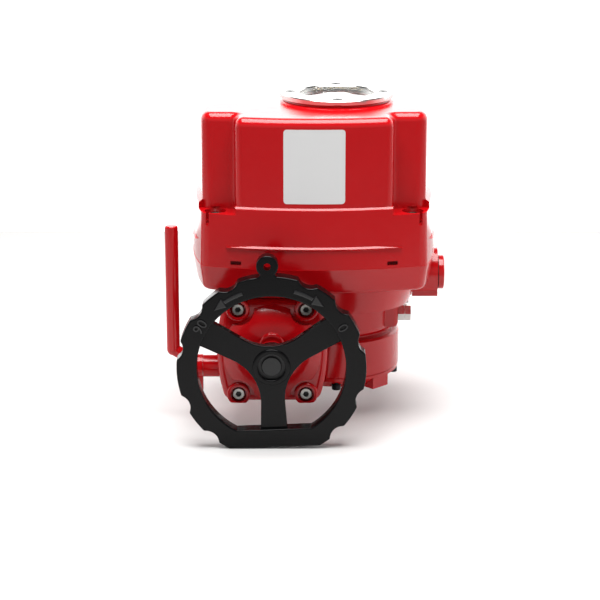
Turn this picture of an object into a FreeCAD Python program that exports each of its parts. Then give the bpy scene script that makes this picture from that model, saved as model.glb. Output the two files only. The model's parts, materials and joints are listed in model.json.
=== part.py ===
import FreeCAD
import Part
import math
import os

# Quarter-turn electric valve actuator.
# Millimetres, +Z up. The origin lies on the output axis, at the face that meets the valve.
# The handwheel is at the front (-Y); the worm shaft runs from front to back beside the output axis.

# Output train
WORM_MODULE = 3.0
WHEEL_TEETH = 36
CENTRE_DISTANCE = 70.0
WORM_HEIGHT = 56.5
WORM_LENGTH = 40.0
WHEEL_FACE_WIDTH = 15.0
WORM_BACKLASH = 0.7
STEM_BORE_RADIUS = 14.0
STEM_BORE_DEPTH = 42.0
STEM_KEY_WIDTH = 8.0
STEM_KEY_DEPTH = 3.3

# Gear train from the motor down to the clutch gear
GEAR_MODULE = 1.5
PINION_TEETH = 17
IDLER_TEETH = 33
CLUTCH_GEAR_TEETH = 41
GEAR_WIDTH = 11.0
GEAR_FRONT_Y = -59.0
GEAR_BACKLASH = 0.45

# Castings
WALL = 6.0
PLATE_HEIGHT = 16.5
PLATE_RADIUS = 70.5
DRUM_RADIUS = 71.4
DRUM_EDGE = 0.8
DRUM_TOP = 58.0
NECK_RADIUS = 66.0
BOWL_BOTTOM = 97.0
SEAM_HEIGHT = 154.0
SEAM_STEP = 0.6
TRAY_DEPTH = 27.5
TRAY_ROUND = 5.0
RIDGE_HEIGHT = 176.4
RIDGE_PROUD = 1.7
RIDGE_HALF = 2.1
RIDGE_NOSE = 0.3
RIDGE_ROOT = 0.3
RIDGE_REACH_X = 93.0
RIDGE_REACH_Y = 62.0
RIDGE_TAPER = 0.7
EAR_SEAT = 211.0
LEDGE_HIGH = 219.7
COVER_TOP = 314.0
CASE_X = -25.0
CASE_Y = -12.5
COVER_TOP_FILLET = 9.0
NOTCH_X = 83.0
NOTCH_Y = 67.5
NOTCH_INNER_FILLET = 7.0
NOTCH_OUTER_FILLET = 13.0
PANEL_ROUND = 9.3
UPPER_ROOT = 20.0

# Gear case and its front cover
JOINT_Y = -84.0
GEAR_CASE_BACK = -46.0
GEAR_CASE_TOP = 115.0
COVER_FLANGE = 16.5
COVER_ROUND = 8.0
DOME_Y = -117.0
SNOUT_Y = -128.0
SNOUT_RADIUS = 18.5
SNOUT_ROUND = 2.5
CASE_SCREW_X = 36.6
CASE_SCREW_LOW = 9.7
CASE_SCREW_HIGH = 104.8

# Valve flange, F10 pattern
FLANGE_PCD = 102.0
FLANGE_HOLE_RADIUS = 4.25
FLANGE_HOLE_DEPTH = 13.0
SPIGOT_RADIUS = 35.0
SPIGOT_DEPTH = 2.5
LUG_WIDTH = 24.0
LUG_REACH = 70.0
LUG_HEIGHT = 3.5

# Handwheel
RIM_FRONT_Y = -160.0
RIM_DEPTH = 19.0
RIM_RADIUS = 100.0
RIM_INNER_RADIUS = 78.6
RIM_FLAT = 87.7
RIM_INNER_FLAT = 68.0
SCALLOP_RADIUS = 14.0
SCALLOP_DEPTH = 5.0
SCALLOP_ANGLES = (24.5, 50.0, 76.5, 111.5, 138.0)
EAR_REACH = 110.8
EAR_RADIUS = 11.5
EAR_HOLE_RADIUS = 3.8
EAR_ROOT = 4.0
EAR_NARROWING = 0.46
WEB_SETBACK = 7.0
WEB_THICKNESS = 9.0
SPOKE_COUNT = 3
SPOKE_APEX = 12.7
SPOKE_SLOPE = 33.0
SPOKE_ARC = 52.5
HUB_RADIUS = 21.0
WHEEL_EDGE = 1.6
SPOKE_EDGE = 1.2
SCALLOP_CUSP = 3.0
HUB_BACK_Y = -131.0
WHEEL_REST_TURN = 2.1
HANDSHAFT_RADIUS = 11.0

# Declutch lever
LEVER_Y = -71.0
LEVER_Z = 31.8
LEVER_X = -178.5
LEVER_TOP = 190.0
LEVER_BAR_RADIUS = 7.2
LEVER_ELBOW_Z = 47.0
LEVER_SHAFT_RADIUS = 5.0
LEVER_THROW_DEG = 28.0
LEVER_PLATE_OUT = -152.0
LEVER_PLATE_IN = -146.2
LEVER_TAIL_Z = 3.5

# Clutch
SLEEVE_RADIUS = 16.5
SLEEVE_LENGTH = 13.0
DOG_LENGTH = 5.0
DOG_GAP = 0.5
DOG_COUNT = 4
FORK_PIN_RADIUS = 2.5
GROOVE_HALF = 3.0

# Window on the cover
BEZEL_RADIUS = 61.5
BEZEL_THICKNESS = 5.0
WINDOW_RADIUS = 41.0
GLASS_RADIUS = 46.5
GLASS_THICKNESS = 4.8
BEZEL_SCREW_CIRCLE = 50.7
WINDOW_BOSS_HEIGHT = 4.5

# Travel stops
STOP_Y = 25.0
STOP_Z = 80.0
STOP_FLAT = 19.8
STOP_CAM_RADIUS = 38.0
STOP_BOLT_RADIUS = 5.0
STOP_HEX = 17.0
STOP_HEAD_HEIGHT = 6.4
STOP_NUT_HEIGHT = 7.2

# Bearings
BEARING_OUTER = 21.0
BEARING_BORE = 10.0
BEARING_WIDTH = 12.0
BEARING_PLACE = 29.5
BEARING_SHOULDER = 4.0
END_CAP_THICKNESS = 6.0

# Inside the base casting
WHEEL_CAVITY = 58.6
WHEEL_CAVITY_TOP = 70.0
CAM_CAVITY = 41.0
CAM_CAVITY_TOP = 89.0
GEAR_CAVITY = 35.0
IDLER_ROOM = 29.0
FORK_ROOM = 24.0
TUNNEL_OUTER = 28.0
TUNNEL_BACK = 52.0
BUSH_LOW_OUTER = 28.0
BUSH_LOW_INNER = 24.0
BUSH_HIGH_OUTER = 20.0
BUSH_HIGH_INNER = 16.0
SEAL_TOP_Z = 8.0
SEAL_DEPTH = 1.8
BOLT_BOSS_RADIUS = 13.0
EAR_CUT_RADIUS = 22.0
BOLT_SLOT_OUT = 8.0
BOLT_SLOT_WIDTH = 3.2
BOLT_SLOT_DEPTH = 13.0
PLATE_SCREW_CIRCLE = 65.3
PLATE_SCREW_SEAT = 8.5
LEVER_BOSS_RADIUS = 13.0
LEVER_SEAT_RADIUS = 12.2
LEVER_SHAFT_END = -36.0
STOP_PAD_HALF = 38.0
STOP_PAD_FOOT = 66.0
STOP_PAD_ROUND = 6.0
STOP_FACE_X = 69.0
STOP_HEAD_X = 76.6
STOP_CAM_HALF = 6.0

# Cable entry
CONDUIT_Y = -15.0
CONDUIT_BOSS = 26.0
CONDUIT_BOSS_RISE = 1.5
CONDUIT_DROP = 30.5
CONDUIT_FOOT_HALF = 18.7
CONDUIT_FOOT_DROP = 23.0
CONDUIT_ROOT = 84.0
CONDUIT_BITE = 14.0
CONDUIT_FACE = 112.0
CONDUIT_BORE = 16.0
CONDUIT_PLUG_RADIUS = 19.0

# Gear cover
DOME_FOOT = 54.0
DOME_SHOULDER = 24.0
DOME_BULGE = 2.5
VALLEY_RADIUS = 17.0
SCREW_BOSS_RADIUS = 12.8
SCREW_BOSS_ROUND = 2.5
SCREW_SINK_RADIUS = 8.8
SCREW_FACE_Y = -105.5
SCREW_SEAT_Y = -95.0
CASE_SCREW_RADIUS = 4.0
CASE_SCREW_TIP = -66.0
NUB_X = 28.8
NUB_HALF = 5.0
NUB_DROP = 3.4
OIL_BOSS_RADIUS = 13.5
OIL_BOSS_RISE = 13.5
OIL_BOSS_Y = -120.0
OIL_BOSS_ROUND = 4.0
COVER_ROOM_Y = -92.0
COVER_GAP = 1.5
COVER_NICHE = 60.0
HAND_BUSH_OUTER = 14.0
SHAFT_SEAL_WIDTH = 5.0

# Shafts and gears
GEAR_BORE = 11.0
JOURNAL_NOSE = 9.0
DOG_OUTER = 16.5
DOG_INNER = 11.5
GROOVE_FLOOR = 12.5
FORK_HUB_RADIUS = 7.5
FORK_IN = 17.2
FORK_OUT = 22.0
IDLER_PIN_RADIUS = 6.0
MOTOR_RADIUS = 30.0
MOTOR_LENGTH = 76.0
MOTOR_PLATE_Y = -45.0
MOTOR_PLATE_THICKNESS = 6.0
MOTOR_PLATE_HALF = 36.0
MOTOR_PLATE_ABOVE = 34.0
MOTOR_PLATE_FOOT = 10.0
ROTOR_RADIUS = 17.0
ROTOR_SHAFT_RADIUS = 5.0
SLEEVE_FOOT_Z = 2.0
SLEEVE_FLANGE = 30.0
WHEEL_SEAT = 26.0
CAM_SEAT = 17.0
CAM_SHAFT_RADIUS = 6.0

# Handwheel details
EAR_DEPTH = 15.0
EAR_NECK = 7.5
HUB_LIP_RADIUS = 20.0
HUB_LIP_HEIGHT = 2.6
HUB_LIP_OUTER_ROUND = 2.3
HUB_LIP_INNER_ROUND = 1.5
HUB_CAP_RADIUS = 14.5
HUB_CAP_DEPTH = 6.0
HUB_DISC_RADIUS = 10.8
HUB_DISC_EDGE = 0.8
HUB_DISC_SETBACK = 1.0
HUB_SEAT_SETBACK = 3.4

# Control compartment
PRY_SLOT_X = 83.0
PRY_SLOT_HALF = 5.5
PRY_SLOT_RISE = 3.0
PRY_SLOT_HEIGHT = 4.5
PRY_SLOT_DEPTH = 9.0
PRY_SLOT_PAD = 4.0
DECK_Z = 188.0
DECK_THICKNESS = 3.0
DECK_HALF_X = 92.0
DECK_HALF_Y = 62.0
DECK_POST_X = 80.0
DECK_POST_Y = 43.0
LIMIT_CAM_Z = 204.0
LIMIT_CAM_PITCH = 8.0
INDICATOR_DROP = 12.0
COVER_BOLT_HEAD = 8.0
BEZEL_SINK = 5.8
BEZEL_SINK_DEPTH = 3.2
DECK_CORNER = 8.0
DECK_HOLE = 20.0
DECK_POST_RADIUS = 4.0
TERMINAL_WAYS = 10
TERMINAL_PITCH = 8.5
TERMINAL_SLOT = 6.0
TERMINAL_DEPTH = 22.0
TERMINAL_HEIGHT = 16.0
TERMINAL_STEP = 8.0
TERMINAL_X = -85.0
TERMINAL_Y = -60.0
CAPACITOR_RADIUS = 16.0
CAPACITOR_LENGTH = 60.0
CAPACITOR_X = -88.0
CAPACITOR_Y = 40.0
HEATER_LENGTH = 36.0
HEATER_DEPTH = 24.0
HEATER_HEIGHT = 14.0
HEATER_Y = 20.0
HEATER_FINS = 5
HEATER_PITCH = 6.0
HEATER_X = 52.0
EARTH_X = 60.0
EARTH_Y = 60.0

# Socket-head screws: shank radius, head radius, head height, length under the head, socket radius
PLATE_SCREW = (3.0, 5.0, 6.0, 22.0, 2.6)
END_CAP_SCREW = (2.5, 4.3, 5.0, 15.0, 2.0)
BEZEL_SCREW = (2.5, 4.6, 2.9, 8.0, 2.1)
EARTH_SCREW = (3.0, 5.0, 5.0, 6.0, 2.5)
CASE_SCREW_HEAD = 6.5
CASE_SCREW_HEAD_HEIGHT = 8.0
CASE_SCREW_SOCKET = 3.4
COVER_BOLT_SOCKET = 4.6

# Screw heads, as shares of their own size
SCREW_EDGE = 0.1
SOCKET_FLOOR = 0.45

# Running clearance on a radius, and the gap left at a seat that moves
RUN = 0.05
SEAT = 0.3
GASKET = 0.8
SCREW_CLEARANCE = 0.3
HEAD_CLEARANCE = 0.6

# Worked out from the values above
WORM_X = -CENTRE_DISTANCE
WHEEL_PITCH_RADIUS = WORM_MODULE * WHEEL_TEETH / 2
WORM_PITCH_RADIUS = CENTRE_DISTANCE - WHEEL_PITCH_RADIUS
WORM_LEAD = math.pi * WORM_MODULE
WORM_TIP_RADIUS = WORM_PITCH_RADIUS + WORM_MODULE
WORM_ROOT_RADIUS = WORM_PITCH_RADIUS - 1.25 * WORM_MODULE
CLUTCH_GEAR_RADIUS = GEAR_MODULE * CLUTCH_GEAR_TEETH / 2
IDLER_RADIUS = GEAR_MODULE * IDLER_TEETH / 2
PINION_RADIUS = GEAR_MODULE * PINION_TEETH / 2
IDLER_Z = WORM_HEIGHT + CLUTCH_GEAR_RADIUS + IDLER_RADIUS
MOTOR_Z = IDLER_Z + IDLER_RADIUS + PINION_RADIUS
WORM_SKEW = math.atan(WORM_LEAD / (2 * math.pi * WORM_PITCH_RADIUS))
FORK_ARM = WORM_HEIGHT - LEVER_Z
CLUTCH_TRAVEL = FORK_ARM * math.sin(math.radians(LEVER_THROW_DEG))
BOLT_X = 105.0
BOLT_Y = 77.5
BOLT_RADIUS = 5.0
BOLT_SEAT_Z = EAR_SEAT - 10.5
BOLT_TIP_Z = SEAM_HEIGHT - 20.0
POCKET_RADIUS = 11.5
CASE_FLOOR = BOWL_BOTTOM + WALL
TRAY_BOTTOM = SEAM_HEIGHT - TRAY_DEPTH
CONDUIT_Z = SEAM_HEIGHT - CONDUIT_DROP
INDICATOR_Z = COVER_TOP - INDICATOR_DROP
WINDOW_TOP = COVER_TOP + WINDOW_BOSS_HEIGHT
GLASS_SEAT_Z = WINDOW_TOP - GLASS_THICKNESS
WHEEL_Z0 = WORM_HEIGHT - WHEEL_FACE_WIDTH / 2
MOTOR_FRONT_Y = MOTOR_PLATE_Y + MOTOR_PLATE_THICKNESS
SLEEVE_BACK_Y = GEAR_FRONT_Y - DOG_LENGTH - DOG_GAP
WORM_NOSE_Y = SLEEVE_BACK_Y - SLEEVE_LENGTH - CLUTCH_TRAVEL
HAND_FLANGE_FACE = SLEEVE_BACK_Y - SLEEVE_LENGTH - CLUTCH_TRAVEL - DOG_LENGTH - DOG_GAP
HAND_FLANGE_BACK = HAND_FLANGE_FACE - 4.5

# Casing outlines: height, half length in X and Y, bow of the sides, corner radius
TRAY_RIM = (SEAM_HEIGHT, 119.7, 91.0, 13.3, 20.0, 14.0)
TRAY_FOOT = (TRAY_BOTTOM, 116.5, 88.0, 12.0, 19.0, 16.0)
BOWL_TOP = (TRAY_BOTTOM, 109.0, 81.0, 7.0, 8.0, 60.0)
BOWL_FOOT = (BOWL_BOTTOM, 100.5, 73.5, 6.0, 6.0, 68.0)
COVER_FOOT = (SEAM_HEIGHT, TRAY_RIM[1] - SEAM_STEP, TRAY_RIM[2] - SEAM_STEP) + TRAY_RIM[3:]
RIDGE_LINE = (RIDGE_HEIGHT, 118.85, 90.15, 12.5, 19.7, 14.0)
EAR_TOP = (LEDGE_HIGH - 2.6, 117.8, 89.1, 11.5, 19.3, 14.0)
EAR_ROUND = (LEDGE_HIGH - 1.8, 117.5, 88.9, 11.0, 19.2, 14.0)
PANEL_FOOT = (LEDGE_HIGH, 115.4, 87.0, 8.2, 19.0, 14.0)
CASE_FACE = (0.0, 51.0, 56.7, 9.0, 0.8, 11.0)


def vec(x, y, z):
    return FreeCAD.Vector(x, y, z)


def rod_x(radius, x0, x1, y, z):
    return Part.makeCylinder(radius, x1 - x0, vec(x0, y, z), vec(1, 0, 0))


def rod_y(radius, y0, y1, x=WORM_X, z=WORM_HEIGHT):
    return Part.makeCylinder(radius, y1 - y0, vec(x, y0, z), vec(0, 1, 0))


def rod_z(radius, z0, z1, x=0.0, y=0.0):
    return Part.makeCylinder(radius, z1 - z0, vec(x, y, z0), vec(0, 0, 1))


def ring_y(outer, inner, y0, y1, x=WORM_X, z=WORM_HEIGHT):
    return rod_y(outer, y0, y1, x, z).cut(rod_y(inner, y0 - 1, y1 + 1, x, z))


def ring_z(outer, inner, z0, z1, x=0.0, y=0.0):
    return rod_z(outer, z0, z1, x, y).cut(rod_z(inner, z0 - 1, z1 + 1, x, y))


def block(x0, x1, y0, y1, z0, z1):
    return Part.makeBox(x1 - x0, y1 - y0, z1 - z0, vec(x0, y0, z0))


def join(shapes, tidy=True):
    solid = shapes[0].multiFuse(shapes[1:])
    return solid.removeSplitter() if tidy else solid


def group(shapes):
    return Part.makeCompound(shapes)


def turned(shape, degrees, centre, axis):
    copy = shape.copy()
    copy.rotate(centre, axis, degrees)
    return copy


def revolve_z(points, x=0.0, y=0.0):
    """A turned solid about a vertical axis, from (radius, height) points."""
    corners = [vec(x + r, y, z) for r, z in points]
    outline = Part.makePolygon(corners + [corners[0]])
    return Part.Face(outline).revolve(vec(x, y, 0), vec(0, 0, 1), 360)


def revolve_y(points, x=WORM_X, z=WORM_HEIGHT):
    """A turned solid about an axis along Y, from (radius, y) points."""
    corners = [vec(x + r, y, z) for r, y in points]
    outline = Part.makePolygon(corners + [corners[0]])
    return Part.Face(outline).revolve(vec(x, 0, z), vec(0, 1, 0), 360)


def bowed_outline(height, half_x, half_y, bow_x, bow_y, corner, centre=(CASE_X, CASE_Y)):
    """A rectangle whose four sides bow outwards as arcs, with tangent corner arcs, at one height."""
    radius_y = (half_x ** 2 + bow_y ** 2) / (2 * bow_y)
    radius_x = (half_y ** 2 + bow_x ** 2) / (2 * bow_x)
    centre_y = half_y + bow_y - radius_y
    centre_x = half_x + bow_x - radius_x
    reach_y = radius_y - corner
    reach_x = radius_x - corner
    gap = math.hypot(centre_x, centre_y)
    along = (reach_y ** 2 - reach_x ** 2 + gap ** 2) / (2 * gap)
    across = math.sqrt(reach_y ** 2 - along ** 2)
    unit_x = centre_x / gap
    unit_y = -centre_y / gap
    corner_x = along * unit_x - across * unit_y
    corner_y = centre_y + along * unit_y + across * unit_x
    if corner_x < 0 or corner_y < 0:
        corner_x = along * unit_x + across * unit_y
        corner_y = centre_y + along * unit_y - across * unit_x
    length_y = math.hypot(corner_x, corner_y - centre_y)
    length_x = math.hypot(corner_x - centre_x, corner_y)
    touch_y = (corner_x / length_y * radius_y, centre_y + (corner_y - centre_y) / length_y * radius_y)
    touch_x = (centre_x + (corner_x - centre_x) / length_x * radius_x, corner_y / length_x * radius_x)
    mid_x = (touch_x[0] + touch_y[0]) / 2 - corner_x
    mid_y = (touch_x[1] + touch_y[1]) / 2 - corner_y
    scale = corner / math.hypot(mid_x, mid_y)
    middle = (corner_x + mid_x * scale, corner_y + mid_y * scale)

    def at(point, sign_x, sign_y):
        return vec(centre[0] + sign_x * point[0], centre[1] + sign_y * point[1], height)

    side_x = (half_x + bow_x, 0)
    side_y = (0, half_y + bow_y)
    edges = []
    for sx, sy, turn in ((1, -1, 1), (1, 1, -1), (-1, 1, 1), (-1, -1, -1)):
        first, second = (touch_y, touch_x) if turn > 0 else (touch_x, touch_y)
        edges.append(Part.Arc(at(first, sx, sy), at(middle, sx, sy), at(second, sx, sy)))
        if turn > 0:
            edges.append(Part.Arc(at(touch_x, sx, sy), at(side_x, sx, sy), at(touch_x, sx, -sy)))
        else:
            edges.append(Part.Arc(at(touch_y, sx, sy), at(side_y, sx, sy), at(touch_y, -sx, sy)))
    return Part.Wire([edge.toShape() for edge in edges])


def bowed_loft(sections, centre=(CASE_X, CASE_Y)):
    """A casting wall through bowed outlines, given as (height, half_x, half_y, bow_x, bow_y, corner)."""
    return Part.makeLoft([bowed_outline(*s, centre=centre) for s in sections], True, True)


def stand_up(shape, y):
    """Turn a shape drawn in the XY plane to face the front, with its base at y and its height towards -Y."""
    copy = shape.copy()
    copy.rotate(vec(0, 0, 0), vec(1, 0, 0), 90)
    copy.translate(vec(0, y, 0))
    return copy


def inset(section, amount, height=None):
    z, half_x, half_y, bow_x, bow_y, corner = section
    z = z if height is None else height
    return (z, half_x - amount, half_y - amount, bow_x, bow_y, max(corner - amount, 2.0))


def corners_of_case():
    return [(CASE_X + sx * BOLT_X, CASE_Y + sy * BOLT_Y) for sx in (-1, 1) for sy in (-1, 1)]


def vertical_edges(solid, near, tolerance=0.6):
    """The upright straight edges of a solid that pass through the given plan points."""
    found = []
    for edge in solid.Edges:
        a, b = edge.Vertexes[0].Point, edge.Vertexes[-1].Point
        if abs(a.x - b.x) > 0.01 or abs(a.y - b.y) > 0.01 or abs(a.z - b.z) < 10:
            continue
        if any(math.hypot(a.x - x, a.y - y) < tolerance for x, y in near):
            found.append(edge)
    return found


def notched_body(section, z0, z1, notch_x, notch_y, inner, outer):
    """The cover's upper body: a bowed prism with the four corners cut back for the cover bolts."""
    outline = bowed_outline(z0, *section[1:])
    body = Part.Face(outline).extrude(vec(0, 0, z1 - z0))
    far = 300.0
    for sx in (-1, 1):
        for sy in (-1, 1):
            x0, x1 = sorted((CASE_X + sx * notch_x, CASE_X + sx * far))
            y0, y1 = sorted((CASE_Y + sy * notch_y, CASE_Y + sy * far))
            body = body.cut(block(x0, x1, y0, y1, z0 - 1, z1 + 1))
    inner_points = [(CASE_X + sx * notch_x, CASE_Y + sy * notch_y) for sx in (-1, 1) for sy in (-1, 1)]
    body = body.makeFillet(inner, vertical_edges(body, inner_points))
    half_x, half_y, bow_x = section[1:4]
    edge_x = half_x + bow_reach(half_y, bow_x, notch_y)
    side_points = [(CASE_X + sx * edge_x, CASE_Y + sy * notch_y) for sx in (-1, 1) for sy in (-1, 1)]
    return body.makeFillet(outer, vertical_edges(body, side_points))


def bow_reach(half, bow, along):
    """How far a bowed side stands beyond its chord, at a distance along the chord from its middle."""
    radius = (half ** 2 + bow ** 2) / (2 * bow)
    return bow - radius + math.sqrt(radius ** 2 - along ** 2)


def hexagon_prism(across_flats, x0, x1, y, z):
    """A hexagonal bar along X, with a flat on top."""
    radius = across_flats / math.sqrt(3)
    points = []
    for i in range(7):
        angle = math.radians(60 * i)
        points.append(vec(x0, y + radius * math.cos(angle), z + radius * math.sin(angle)))
    return Part.Face(Part.makePolygon(points)).extrude(vec(x1 - x0, 0, 0))


def cap_screw(shank, head, head_height, length, socket):
    """A socket-head screw along +Z: its seat at z = 0, head above it, shank below."""
    edge = head * SCREW_EDGE
    body = revolve_z([(0, -length), (shank, -length), (shank, 0), (head, 0), (head, head_height - edge),
                      (head - edge, head_height), (0, head_height)])
    points = []
    for i in range(7):
        angle = math.radians(60 * i)
        points.append(vec(socket * math.cos(angle), socket * math.sin(angle), head_height * SOCKET_FLOOR))
    recess = Part.Face(Part.makePolygon(points)).extrude(vec(0, 0, head_height))
    return body.cut(recess)


def placed(shape, position, axis):
    """Point a shape made along +Z along another axis and move it to its place."""
    copy = shape.copy()
    copy.Placement = FreeCAD.Placement(vec(*position), FreeCAD.Rotation(vec(0, 0, 1), vec(*axis)))
    return copy


def gear_outline(teeth, module, backlash, tooth_at, tip=1.0, root=1.25):
    """The closed outline of a spur gear in the XY plane, with one tooth centred at tooth_at degrees."""
    pitch = module * teeth / 2
    half = (math.pi * module / 2 - backlash) / 2
    slope = math.tan(math.radians(20))
    levels = (
        (pitch - root * module, half + root * module * slope),
        (pitch + tip * module, half - root * module * slope),
    )
    points = []
    for i in range(teeth):
        middle = math.radians(tooth_at) + 2 * math.pi * i / teeth
        flank = [(radius, -width) for radius, width in levels]
        flank += [(radius, width) for radius, width in reversed(levels)]
        for radius, width in flank:
            angle = middle + width / radius
            points.append(vec(radius * math.cos(angle), radius * math.sin(angle), 0))
    return Part.makePolygon(points + [points[0]])


def spur_gear(teeth, tooth_at, bore, width=GEAR_WIDTH):
    face = Part.Face(gear_outline(teeth, GEAR_MODULE, GEAR_BACKLASH, tooth_at))
    gear = face.extrude(vec(0, 0, width))
    return gear.cut(Part.makeCylinder(bore, width + 2, vec(0, 0, -1)))


def dog_ring(outer, inner, length, first_angle):
    """Square clutch dogs on a ring, with gaps a little wider than the dogs."""
    width = 360.0 / DOG_COUNT / 2 - 4.0
    dogs = []
    for i in range(DOG_COUNT):
        start = first_angle + i * 360.0 / DOG_COUNT - width / 2
        segment = Part.makeCylinder(outer, length, vec(0, 0, 0), vec(0, 0, 1), width)
        segment.rotate(vec(0, 0, 0), vec(0, 0, 1), start)
        dogs.append(segment.cut(Part.makeCylinder(inner, length + 2, vec(0, 0, -1))))
    return dogs


def mounting_plate():
    """The bottom plate that bolts to the valve: a chamfered disc with four lugs and a spigot recess."""
    plate = revolve_z([(0, LUG_HEIGHT), (60, LUG_HEIGHT), (PLATE_RADIUS, 12.5), (PLATE_RADIUS, PLATE_HEIGHT - DRUM_EDGE),
                       (PLATE_RADIUS - DRUM_EDGE, PLATE_HEIGHT), (0, PLATE_HEIGHT)])
    lug = block(0, LUG_REACH, -LUG_WIDTH / 2, LUG_WIDTH / 2, 0, PLATE_HEIGHT - 4)
    lugs = [turned(lug, 45 + 90 * i, vec(0, 0, 0), vec(0, 0, 1)) for i in range(4)]
    plate = join([plate, rod_z(SPIGOT_RADIUS + 10, 0, PLATE_HEIGHT)] + lugs)
    cuts = [rod_z(SPIGOT_RADIUS, -1, SPIGOT_DEPTH), rod_z(BUSH_LOW_OUTER, 0, PLATE_HEIGHT + 1)]
    for i in range(4):
        angle = math.radians(45 + 90 * i)
        x, y = FLANGE_PCD / 2 * math.cos(angle), FLANGE_PCD / 2 * math.sin(angle)
        cuts.append(rod_z(FLANGE_HOLE_RADIUS, -1, FLANGE_HOLE_DEPTH, x, y))
    for x, y in plate_screw_places():
        cuts.append(rod_z(PLATE_SCREW[0] + SCREW_CLEARANCE, 0, PLATE_HEIGHT + 1, x, y))
        cuts.append(rod_z(PLATE_SCREW[1] + HEAD_CLEARANCE, -1, PLATE_SCREW_SEAT, x, y))
    return plate.cut(Part.makeCompound(cuts))


def plate_screw_places():
    return [(PLATE_SCREW_CIRCLE * math.cos(math.radians(90 * i)), PLATE_SCREW_CIRCLE * math.sin(math.radians(90 * i)))
            for i in range(4)]


def mounting_plate_screws():
    screw = cap_screw(*PLATE_SCREW)
    return group([placed(screw, (x, y, PLATE_SCREW_SEAT), (0, 0, -1)) for x, y in plate_screw_places()])


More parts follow.
